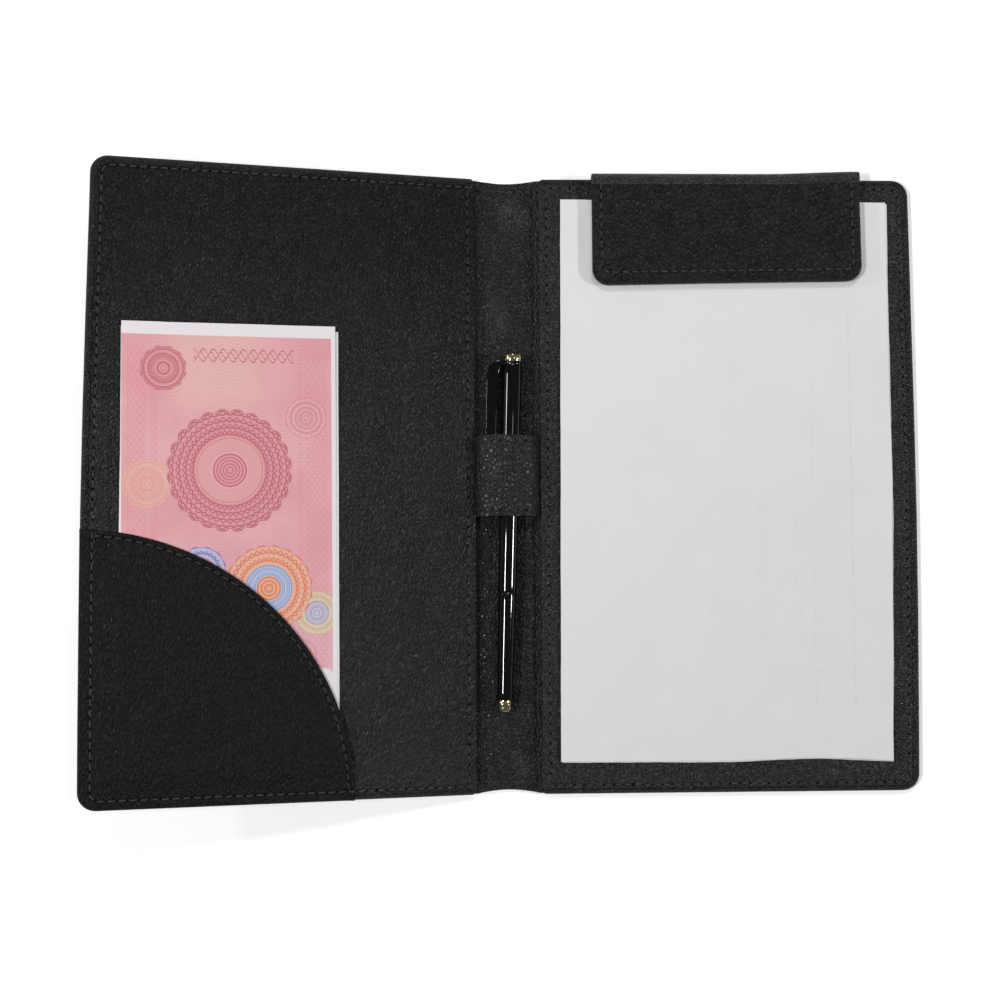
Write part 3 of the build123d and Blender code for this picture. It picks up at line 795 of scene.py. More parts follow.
def spine_top(x, y):
    """The spine's inside face: low in the middle of its hollow, gathered in small folds at its hems."""
    ax = np.abs(x)
    z = 1.42 - 0.47 * smooth((ax - 6.5) / 4.2)
    z = z - 0.26 * smooth((ax - 7.9) / 1.1) - 0.05 * smooth((ax - 10.4) / 0.4) - 0.20 * smooth((ax - 10.9) / 1.4)
    soft = 1 - smooth((ax - 7.0) / 3.0)
    z = z + (0.10 * wobble(x, y, 17.0, 7.7) + 0.035 * wobble(x, y, 5.0, 2.9)) * (0.35 + 0.65 * soft)
    ye = spine_end(x)
    hem = np.abs(np.abs(y) - 109.9)
    z = z - 0.20 * np.exp(-(hem / 0.45) ** 2)
    past = smooth((np.abs(y) - 110.2) / 0.8)
    z = z + 0.12 * past
    gather = 0.10 * np.sin(x * 2.1 + 0.8 * np.sin(x * 0.7) + np.sign(y)) * np.exp(-(np.maximum(hem - 0.2, 0) / 2.6) ** 2)
    z = z + gather * (1 - smooth((ax - 9.5) / 1.5))
    # long soft puckers beside the pen loop
    near = np.exp(-((np.abs(y - 2.2) - 15.6) / 4.5) ** 2) * (np.abs(y - 2.2) > 14.9)
    z = z + 0.06 * near * np.sin(x * 1.5 + 0.4)
    inside = 1 - smooth((ax - 6.5) / 2.4)
    folds = np.zeros(len(x))
    for cx, cy, ang, ln, wd, am in ((3.2, 100.5, 66, 8.5, 2.6, .85), (-4.2, 99.0, 86, 13.0, 1.7, -.45), (5.6, 84.0, 98, 13.0, 1.5, .32),
                                    (-0.8, 82.0, 80, 15.0, 2.0, .34), (-5.2, 76.0, 92, 16.0, 1.4, .20), (2.2, 66.0, 96, 12.0, 1.6, -.20),
                                    (4.6, 57.0, 84, 9.0, 1.5, .18), (-2.0, -98.0, 70, 8.0, 2.4, .30), (4.6, -96.0, 106, 10.0, 1.7, .24),
                                    (-5.0, -92.0, 92, 9.0, 1.4, -.22), (1.5, -104.5, 20, 5.0, 1.5, .22)):
        c, s = math.cos(math.radians(ang)), math.sin(math.radians(ang))
        u = (x - cx) * c + (y - cy) * s
        v = -(x - cx) * s + (y - cy) * c
        folds += am * np.exp(-(u / ln) ** 2 - (v / wd) ** 2)
    clear = smooth((y - 50.0) / 6.0) + smooth((-88.0 - y) / 4.0)
    z = z + folds * inside * clear
    # the pen's path stays open along its whole length
    d = np.abs(x + 1.7 - (y + 84.1) * math.tan(math.radians(1.64)))
    path = 5.16 - np.sqrt(np.maximum(3.66 ** 2 - d ** 2, 0.0))
    return np.minimum(z, np.where(clear > 0.02, np.minimum(path, 2.3), 1.5))


def spine_slab(name, xs, mats, body, seed=0.0, w=None, tuck=False):
    ys = np.concatenate([np.linspace(-1, -0.952, 16)[:-1], np.linspace(-0.952, 0.952, 230), np.linspace(0.952, 1, 16)[1:]])
    rings = []
    for x in xs:
        ye = float(spine_end(np.array([x]))[0])
        top_y = ys * (ye - 0.42)
        xx = np.full(len(top_y), x)
        top = spine_top(xx, top_y)
        t0, t1 = top[0], top[-1]
        low = 0.0 if not tuck or abs(x) < 12.31 else 0.10
        bottom = [(-(ye - 0.3), low), (-ye * 0.5, low), (0.0, low), (ye * 0.5, low), (ye - 0.3, low)]
        up = [(ye - 0.08, low + 0.10 * t1), (ye, 0.45 * t1), (ye - 0.07, 0.82 * t1), (ye - 0.22, 0.97 * t1)]
        down = [(-(ye - 0.22), 0.97 * t0), (-(ye - 0.07), 0.82 * t0), (-ye, 0.45 * t0), (-(ye - 0.08), low + 0.10 * t0)]
        loop = bottom + up + list(zip(top_y[::-1], top[::-1])) + down
        rings.append(np.array([(x, a, b) for a, b in loop]))
    n = len(rings[0])
    v, f = loft(rings)
    f.append(tuple(reversed(range(n))))
    f.append(tuple(range((len(rings) - 1) * n, len(rings) * n)))
    weights = w(v) if w else None
    return build(name, v, f, mats, body, w=weights, sharp=50)


def crease_share(x):
    return smooth((np.abs(x) - 11.0) / 1.6)


def bent(points):
    """Crease points at rest: the share of the front cover's lift grows across the crease."""
    return lift(points, crease_share(points[:, 0]))


def spline(points, n):
    """A smooth line through points (Catmull-Rom), n points long, evenly spaced."""
    p = np.asarray(points, float)
    q = np.concatenate([[2 * p[0] - p[1]], p, [2 * p[-1] - p[-2]]])
    out = []
    for i in range(1, len(q) - 2):
        for t in np.linspace(0, 1, 24, endpoint=False):
            a, b, c, d = q[i - 1], q[i], q[i + 1], q[i + 2]
            out.append(0.5 * ((2 * b) + (c - a) * t + (2 * a - 5 * b + 4 * c - d) * t ** 2 + (3 * b - a - 3 * c + d) * t ** 3))
    out.append(p[-1])
    out = np.array(out)
    s = np.concatenate([[0], np.cumsum(np.linalg.norm(np.diff(out, axis=0), axis=1))])
    k = np.linspace(0, s[-1], n)
    return np.stack([np.interp(k, s, out[:, i]) for i in range(out.shape[1])], 1), k


def band(name, path, y0, y1, thick, mats, body, bulge=None, w=None, front=False, edge=0.28, wave=0.0,
         part=None):
    """A strip of leather with rounded edges, swept along a line of (x, z) points."""
    path = np.asarray(path, float)
    t = np.gradient(path, axis=0)
    t /= np.linalg.norm(t, axis=1)[:, None]
    nrm = np.stack([-t[:, 1], t[:, 0]], 1)
    s = np.concatenate([[0], np.cumsum(np.linalg.norm(np.diff(path, axis=0), axis=1))])
    ny = int((y1 - y0) / 0.55)
    top_y = np.linspace(y0 + edge, y1 - edge, ny)
    h = thick / 2
    rings, flats = [], []
    lo, hi = part or (0, len(path))
    for i, (x, z) in list(enumerate(path))[lo:hi]:
        da = wave * math.sin(s[i] * 0.55 + 1.0)
        db = wave * math.sin(s[i] * 0.43 + 2.2)
        loop = [(y, -h) for y in np.linspace(y0 + edge, y1 - edge, 12)]
        loop += [(y1 - 0.3 * edge, -0.8 * h), (y1, -0.2 * h), (y1, 0.3 * h), (y1 - 0.3 * edge, 0.85 * h)]
        up = bulge(np.full(ny, s[i]), top_y[::-1]) if bulge else np.zeros(ny)
        loop += [(y, h + k) for y, k in zip(top_y[::-1], up)]
        loop += [(y0 + 0.3 * edge, 0.85 * h), (y0, 0.3 * h), (y0, -0.2 * h), (y0 + 0.3 * edge, -0.8 * h)]
        ring, fl = [], []
        for y, d in loop:
            m = (y - y0) / (y1 - y0)
            yy = y + da * (1 - m) ** 4 + db * m ** 4
            ring.append((x + nrm[i, 0] * d, yy, z + nrm[i, 1] * d))
            fl.append((s[i], yy, d * 0.5))
        rings.append(np.array(ring))
        flats += fl
    n = len(rings[0])
    v, f = loft(rings)
    f.append(tuple(reversed(range(n))))
    f.append(tuple(range((len(rings) - 1) * n, len(rings) * n)))
    weights = w(v) if w else None
    return build(name, v, f, mats, body, flat=flats, w=weights, front=front, sharp=60)


LOOP_LINE = [
    (-12.5, 1.35), (-12.25, 1.8), (-11.95, 2.7), (-11.6, 3.9), (-11.15, 5.1), (-10.5, 6.15), (-9.7, 6.95), (-8.7, 7.55), (-7.3, 8.1), (-5.8, 8.55),
    (-4.2, 8.95), (-2.6, 9.3), (-1.0, 9.48), (1.0, 9.5), (2.7, 9.2), (4.2, 8.7), (5.6, 8.15), (7.0, 7.45), (8.3, 6.6), (9.5, 5.45), (10.5, 4.2),
    (11.3, 3.0), (11.9, 2.05), (12.5, 1.5),
]
LOOP_Y0, LOOP_Y1 = -12.8, 17.2


def loop_bulge(s, y):
    """Small folds across the loop where it bends over the pen and down beside it."""
    edge = smooth(np.minimum(y - LOOP_Y0, LOOP_Y1 - y) / 1.6)
    seam = np.minimum(np.abs(y - (LOOP_Y0 + 2.2)), np.abs(y - (LOOP_Y1 - 2.2)))
    out = 0.12 * wobble(s, y, 6.0, 4.4) + 0.06 * wobble(s, y, 2.4, 8.1)
    for at, size, wide, k, ph in ((16.8, .40, .75, .13, 0.2), (14.9, -.26, .7, .15, 1.0), (18.9, -.30, .8, .12, 2.0),
                                  (21.1, .36, .75, .11, 2.6), (11.4, .14, .7, .2, .4), (23.6, -.20, .9, .1, .9)):
        out += size * np.exp(-((s - at - 0.5 * np.sin(y * k + ph)) / wide) ** 2)
    out -= 0.18 * np.exp(-(seam / 0.45) ** 2)
    return out * (0.25 + 0.75 * edge) - 0.1 * (1 - edge)


# ------------------------------------------------------------------ flap
def flap_outline(d, dt=0.0, step=0.9):
    x0, x1, y0, y1 = FLAP[0] + d, FLAP[1] - d, FLAP[2] + d, FLAP[3] - dt
    r = max(6.3 - d, 0.4)
    nx, ny = int(100 / step), int(39 / step)
    return np.concatenate([
        line((x0 + r, y0), (x1 - r, y0), nx), arc(x1 - r, y0 + r, r, -90, 0, 12),
        line((x1, y0 + r), (x1, y1), ny), [(x1, y1)], line((x1, y1), (x0, y1), nx), [(x0, y1)],
        line((x0, y1), (x0, y0 + r), ny), arc(x0 + r, y0 + r, r, 180, 270, 12)])


def flap_shear(v):
    """The flap's lower edge runs a little uphill to the right, and its sides spread a little."""
    v = np.array(v, float)
    x, y = v[:, 0], v[:, 1]
    k = (FLAP[3] - y) / (FLAP[3] - FLAP[2])
    across = (x - 82.3) / 50.3
    v[:, 1] = y + k * (1.2 + 0.85 * across + 0.15 * (1 - across ** 2))
    v[:, 0] = x + smooth((across + 0.2) / 1.2) * (0.25 + 0.45 * k)
    v[:, 1] += TOP_LIFT * smooth((x - 96) / 37) * smooth((y - 100) / 14) * 0.75
    return v


TOP_LIFT = 1.2


def flap_seam_path():
    x0, x1, y0 = FLAP[0] + 3.4, FLAP[1] - 3.4, FLAP[2] + 4.5
    r = 3.4
    return np.concatenate([
        np.stack([np.full(60, x0), np.linspace(FLAP[3], y0 + r, 60)], 1),
        arc(x0 + r, y0 + r, r, 180, 270, 9)[1:],
        np.stack([np.linspace(x0 + r, x1 - r, 150), np.full(150, y0)], 1)[1:],
        arc(x1 - r, y0 + r, r, -90, 0, 9)[1:],
        np.stack([np.full(60, x1), np.linspace(y0 + r, FLAP[3], 60)], 1)[1:],
    ])


def flap_seam_distance(x, y):
    x0, x1, y0, r = FLAP[0] + 3.4, FLAP[1] - 3.4, FLAP[2] + 4.5, 3.4
    qx = np.abs(x - (x0 + x1) / 2) - ((x1 - x0) / 2 - r)
    qy = (y0 + r) - y
    return -(np.minimum(np.maximum(qx, qy), 0) + np.hypot(np.maximum(qx, 0), np.maximum(qy, 0)) - r)


def flap_height(marks):
    def height(x, y, pitted=True):
        x, y = np.asarray(x, float), np.asarray(y, float)
        d = flap_seam_distance(x, y)
        out = np.full(len(x), 7.88)
        out -= 0.24 * bump(d, 0, 0.55)
        near = np.abs(d) < 1.6
        if near.any() and pitted:
            out[near] -= 0.18 * pits(x[near], y[near], marks)
        inner = smooth((d - 1) / 6)
        fade = 1 - smooth((y - 104) / 6)
        out -= 0.06 * inner * fade * (1 + wobble(x, y, 26.0, 6.1))
        return out
    return height


def make_flap():
    seam = flap_seam_path()
    marks = hole_marks(seam)
    height = flap_height(marks)
    prof = [(6.0, 0, 3.92), (2.2, 0, 3.92), (1.2, 0, 3.95), (.5, 0, 4.18), (.12, 0, 4.7), (0, 0, 5.4), (0, 0, 6.2), (.12, 0, 6.85),
            (.45, 0, 7.36), (1.0, 0, 7.68), (1.7, 0, 7.82), (2.3, 0, 7.86)]
    rings = []
    for d, dt, z in prof:
        xy = flap_outline(d, dt)
        zz = np.full(len(xy), z) + (0.05 * wobble(xy[:, 0], xy[:, 1], 6.0, 1.2) if 4 < z < 7.7 else 0)
        rings.append(np.column_stack([xy, zz]))
    for d in (2.7, 3.0, 3.25, 3.5, 3.8, 4.1, 4.4, 4.7, 5.0, 5.4, 6.0, 7.0, 8.2):
        xy = flap_outline(d, (d - 2.3) * 0.6)
        rings.append(np.column_stack([xy, height(xy[:, 0], xy[:, 1])]))
    n = len(rings[0])
    v, f = loft(rings)
    v, f = capped(v, f, 0, n, rings[0][:, :2], lambda x, y: magnet_marks(x, y), 2.6, up=False)
    v, f = capped(v, f, (len(rings) - 1) * n, n, rings[-1][:, :2], height, 1.9)
    flat = v.copy()
    flat[:, 1] += 0.6 * v[:, 2]
    ob = build("flap_leather", flap_shear(v), f, M_FLAP, "clip_flap", flat=flat)
    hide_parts("clip_top_leather", "clip_stiffener", "clip_bottom_leather")
    return height, seam


def magnet_marks(x, y):
    """The flap's underside: the two magnets press faint round marks into it."""
    z = np.full(len(x), 3.92)
    for mx in (54.3, 110.3):
        r = np.hypot(x - mx, y - 89)
        z = z + 0.10 * np.exp(-((r - 6.3) / 0.5) ** 2)
    return z


def fold_path():
    a = np.radians(np.linspace(90, -90, 30))
    outer = [(111.3, 7.89), (111.8, 7.9), (112.3, 7.9), (112.8, 7.9)]
    outer += [(FOLD_Y + FOLD_R * math.cos(t), FOLD_AZ + FOLD_R * math.sin(t)) for t in a]
    outer += [(y, 3.2) for y in np.linspace(112.9, 108.0, 12)]
    inner_r = FOLD_R - 0.72
    inner = [(y, 3.9) for y in np.linspace(108.0, 112.9, 12)]
    inner += [(FOLD_Y + inner_r * math.cos(t), FOLD_AZ + inner_r * math.sin(t)) for t in a[::-1]]
    inner += [(112.8, 7.18), (112.3, 7.18), (111.8, 7.18), (111.3, 7.2)]
    return np.array(outer + inner), len(outer)


def fold_shift(v):
    """Carries the flap's own small lift and spread on round the fold, down to the cover."""
    v = np.array(v, float)
    high = smooth((v[:, 2] - 3.9) / 3.4)
    across = (v[:, 0] - 82.3) / 50.3
    v[:, 1] += high * TOP_LIFT * smooth((v[:, 0] - 96) / 37) * (0.75 + 0.25 * smooth((v[:, 1] - 112) / 2))
    v[:, 0] += smooth((across + 0.2) / 1.2) * 0.25 * high
    return v


def make_fold():
    ring, no = fold_path()
    s = np.concatenate([[0], np.cumsum(np.linalg.norm(np.diff(ring[:no], axis=0), axis=1))])
    s_in = np.interp(np.linspace(0, 1, len(ring) - no), [0, 1], [s[-1], 0])
    sall = np.concatenate([s, s_in])
    xs = np.concatenate([[FLAP[0], FLAP[0] + .05, FLAP[0] + .2, FLAP[0] + .45], np.linspace(FLAP[0] + 1, FLAP[1] - 1, 140),
                         [FLAP[1] - .45, FLAP[1] - .2, FLAP[1] - .05, FLAP[1]]])
    mid = (ring[:no].mean(0))
    rings, flats = [], []
    for i, x in enumerate(xs):
        k = min(i, len(xs) - 1 - i)
        pinch = (0.30, 0.16, 0.05, 0.012)[k] if k < 4 else 0.0
        dip = 0.20 * (bump(np.array([x]), FLAP[0] + 3.4, 0.6)[0] + bump(np.array([x]), FLAP[1] - 3.4, 0.6)[0])
        p = []
        for j, (y, z) in enumerate(ring):
            cy, cz = FOLD_Y, FOLD_AZ
            rr = math.hypot(y - cy, z - cz)
            # pull towards the middle of the thickness at the two ends
            if y > FOLD_Y:
                want = FOLD_R - 0.36
                q = want + (rr - want) * (1 - pinch * 2)
                dy, dz = (y - cy) / rr * q, (z - cz) / rr * q
                wav = 0.05 * noise.noise(Vector((x / 9.0, j * 0.2, 3.0))) if j < no else 0
                y, z = cy + dy * (1 - (dip * 0.12 + wav * 0.2) if j < no else 1), cz + dz * (1 - dip * 0.08 if j < no else 1)
            else:
                m = 7.54 if z > 5.5 else 3.55
                z = m + (z - m) * (1 - pinch * 2)
                if j < no and z > 5.5:
                    z -= dip * 0.6
            p.append((x, y, z))
            flats.append((x, 112 + sall[j], 0.4 if j < no else 0.0))
        rings.append(np.array(p))
    n = len(rings[0])
    v, f = loft(rings)
    v = fold_shift(v)
    f.append(tuple(reversed(range(n))))
    f.append(tuple(range((len(rings) - 1) * n, len(rings) * n)))
    ob = build("flap_fold", v, f, M_FOLD_SHEEN, None, flat=flats, flip=True, sharp=55)
    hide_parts("clip_hinge_strap")
    row_point(82.3, 113.3, 7.3)
    row_point(82.3, 113.3, 3.8)
    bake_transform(ob)
    return ob


def fold_stitch_path(x):
    a = np.radians(np.linspace(90, -78, 26))
    pts = [(x, 111.6, 7.88), (x, 112.4, 7.88)]
    ups = [(0, 0, 1), (0, 0, 1)]
    for t in a:
        pts.append((x, FOLD_Y + (FOLD_R - .03) * math.cos(t), FOLD_AZ + (FOLD_R - .03) * math.sin(t)))
        ups.append((0, math.cos(t), math.sin(t)))
    return np.array(pts), np.array(ups)


# ------------------------------------------------------------------ paper and note
def ripple(t, seed, amount):
    return amount * (0.6 * math.sin(t * 0.11 + seed) + 0.3 * math.sin(t * 0.31 + 2.1 * seed) + 0.25 * math.sin(t * 0.83 + 5.0 * seed))


def sheet(name, cx, cy, turn, width, length, z, mat, body, rise, front=False, thick=0.14, step=2.0, wavy=0.12, seed=1.0,
          shape=None):
    """A thin sheet with slightly uneven cut edges; rise(u, v) lifts it off what it lies on."""
    nx, ny = int(width / step), int(length / step)
    us = np.linspace(-1, 1, nx + 1)
    vs = np.linspace(-1, 1, ny + 1)
    grid, flats = [], []
    a = math.radians(turn)
    c, s = math.cos(a), math.sin(a)
    for j, v in enumerate(vs):
        for i, u in enumerate(us):
            x, y = u * width / 2, v * length / 2
            x += ripple(y, seed, wavy) * u ** 4 * (1 if u > 0 else 0.6) * (1 - v ** 8)
            y += ripple(x, seed + 1.7, wavy) * v ** 4 * (1 - u ** 8)
            if shape:
                dx, dy = shape(u, v, x, y)
                x, y = x + dx, y + dy
            grid.append((x, y))
    g = np.array(grid)
    h = rise(g[:, 0], g[:, 1])
    X = cx + g[:, 0] * c - g[:, 1] * s
    Y = cy + g[:, 0] * s + g[:, 1] * c
    top = np.column_stack([X, Y, z + thick + h])
    bot = np.column_stack([X, Y, z + h])
    verts = np.concatenate([top, bot])
    k = len(top)
    w = nx + 1
    faces = []
    for j in range(ny):
        for i in range(nx):
            q = (j * w + i, j * w + i + 1, (j + 1) * w + i + 1, (j + 1) * w + i)
            faces.append(q)
            faces.append(tuple(k + t for t in reversed(q)))
    rim = [i for i in range(w)] + [j * w + nx for j in range(1, ny + 1)] + [ny * w + i for i in range(nx - 1, -1, -1)] + \
          [j * w for j in range(ny - 1, 0, -1)]
    for i, p in enumerate(rim):
        q = rim[(i + 1) % len(rim)]
        faces.append((p, k + p, k + q, q))
    sign = -1 if front else 1
    flats = np.concatenate([np.column_stack([g[:, 0] * sign, g[:, 1], np.zeros(k)])] * 2)
    flats[k:, 2] = -1
    flats = flats * [1 if not front else -1, 1, 1]
    return build(name, verts, faces, mat, body, front=front, flat=np.column_stack([flats[:, 0], flats[:, 1], flats[:, 2]]))


def band_mask(n, x, lo, hi, soft):
    a = n.range(x, lo - soft, lo + soft, smooth=True)
    b = n.range(x, hi - soft, hi + soft, 1.0, 0.0, smooth=True)
    return n.math("MULTIPLY", a, b)


def check_paper(name, white):
    """Thin cheap paper: fibres, slight cockling, and the faint grey of ruled lines and print from its other side."""
    n = Nodes(name)
    p = n.flat()
    x, y, zz = n.split(p)
    fibre = n.noise(n.map(p, 0, (0.5, 1.4, 1.0)), 3.0, 4, 0.6)
    cloud = n.noise(p, 0.035, 3, 0.55)
    shade = n.math("MULTIPLY_ADD", fibre, 0.05, n.math("MULTIPLY", cloud, 0.10))
    # upright columns of faint broken marks
    marks = None
    for cx, half, lo, hi, f, amt in ((13.5, 2.4, -62, -8, 1.9, .10), (27.0, 2.2, -64, -6, 2.3, .085), (37.5, 1.6, -30, 34, 1.7, .06),
                                     (-12.0, 3.2, -52, -12, 1.5, .05), (-4.5, 2.2, -66, -24, 2.1, .06), (3.5, 1.8, 12, 52, 1.8, .035)):
        m = n.math("MULTIPLY", band_mask(n, x, cx - half, cx + half, 0.5), band_mask(n, y, lo, hi, 1.2))
        grit = n.noise(n.map(p, 0, (1.5, f, 1.0), (cx, 0, 0)), 0.55, 2, 0.6)
        grit = n.range(grit, 0.50, 0.66, smooth=True)
        grit = n.math("MULTIPLY", grit, n.range(n.noise(n.map(p, 0, (0.25, 0.6, 1.0), (0, cx, 0)), 0.35, 1), 0.42, 0.6))
        m = n.math("MULTIPLY", n.math("MULTIPLY", m, grit), amt * 1.3)
        marks = m if marks is None else n.math("ADD", marks, m)
    # faint ruled lines near the right side
    for cx, hw, amt in ((32.8, .18, .055), (47.2, .22, .09), (57.6, .15, .03)):
        d = n.math("ABSOLUTE", n.math("ADD", n.math("SUBTRACT", x, cx), n.math("MULTIPLY", y, 0.006)))
        m = n.math("MULTIPLY", n.range(d, hw, hw + 0.35, 1.0, 0.0, smooth=True), band_mask(n, y, -84, 62, 2))
        m = n.math("MULTIPLY", m, n.range(n.noise(p, 0.25, 2), 0.35, 0.6))
        marks = n.math("ADD", marks, n.math("MULTIPLY", m, amt))
    for cy in (-4.5, -23.0, -34.5, -52.0, -58.5, -71.0, -81.0):
        d = n.math("ABSOLUTE", n.math("SUBTRACT", y, cy))
        m = n.math("MULTIPLY", n.range(d, 0.15, 0.5, 1.0, 0.0, smooth=True), band_mask(n, x, 33, 59, 1))
        m = n.math("MULTIPLY", m, n.range(n.noise(p, 0.2, 2), 0.4, 0.6))
        marks = n.math("ADD", marks, n.math("MULTIPLY", m, .045))
    # painted shade: the paper is painted darker, with a slight purple tint, towards the bottom right, where less light
    # falls
    shade_and_tint = n.range(n.math("ADD", n.math("MULTIPLY", x, 0.6), n.math("MULTIPLY", y, -1.0)), -100, 140, smooth=True)
    base = n.mix(shade_and_tint, white, (white[0] * .93, white[1] * .915, white[2] * .945))
    c = n.mix(n.math("ADD", shade, marks, clamp=True), base, (0.16, 0.16, 0.20))
    cockle = n.noise(n.map(p, 12, (0.05, 0.03, 0.05)), 1.0, 3, 0.5)
    b = n.bump(cockle, 0.0011)
    b = n.bump(n.noise(n.map(p, -20, (0.3, 0.08, 0.2)), 1.0, 2, 0.5), 0.00014, b)
    b = n.bump(fibre, 0.00002, b)
    n.set(Base_Color=c, Roughness=n.range(fibre, 0.2, 0.8, 0.62, 0.8), Normal=b, Specular_IOR_Level=0.25)
    return n.done()


def rosette(n, x, y, cx, cy, size, petals, wave, rings):
    """Engine-turned rosette: bands of crossing lobed rings, the outer ones scalloped like scales.

    Gives (inside, ink, distance from the centre)."""
    dx, dy = n.math("SUBTRACT", x, cx), n.math("SUBTRACT", y, cy)
    r = n.math("SQRT", n.math("ADD", n.math("MULTIPLY", dx, dx), n.math("MULTIPLY", dy, dy)))
    th = n.math("ARCTAN2", dy, dx)
    lobe = n.math("SINE", n.math("MULTIPLY", th, float(petals)))
    half = n.math("SINE", n.math("MULTIPLY", th, float(petals // 2)))
    s1 = n.math("ABSOLUTE", n.math("SINE", n.math("MULTIPLY", th, petals / 4.0)))
    s2 = n.math("ABSOLUTE", n.math("COSINE", n.math("MULTIPLY", th, petals / 4.0)))
    edge = n.math("MULTIPLY_ADD", s1, size * 0.06, size * 0.94)
    inside = n.range(n.math("SUBTRACT", r, edge), -0.12, 0.12, 1.0, 0.0)
    ink = None
    bands = ((0.02, 0.26, half, half, 1.3, -1.0), (0.29, 0.52, lobe, lobe, 1.0, -1.0), (0.55, 0.97, s1, s2, 0.62, 1.0))
    for lo, hi, la, lb, pitch, sign in bands:
        amp = size * wave * (lo + hi) * 0.5 * (1.5 if sign > 0 else 1.0)
        k = math.pi * rings / size * pitch
        u = n.math("ABSOLUTE", n.math("SINE", n.math("MULTIPLY", n.math("MULTIPLY_ADD", la, amp, r), k)))
        v = n.math("ABSOLUTE", n.math("SINE", n.math("MULTIPLY", n.math("MULTIPLY_ADD", lb, amp * sign, r), k)))
        m = band_mask(n, r, lo * size, hi * size, 0.12)
        w = n.math("MULTIPLY", m, n.range(n.math("MINIMUM", u, v), 0.16, 0.46, 1.0, 0.0))
        rim = n.range(n.math("ABSOLUTE", n.math("SUBTRACT", r, hi * size)), 0.10, 0.30, 1.0, 0.0)
        w = n.math("MAXIMUM", w, rim)
        ink = w if ink is None else n.math("MAXIMUM", ink, w)
    rim = n.range(n.math("ABSOLUTE", n.math("SUBTRACT", r, edge)), 0.12, 0.32, 1.0, 0.0)
    return inside, n.math("MAXIMUM", ink, rim), r


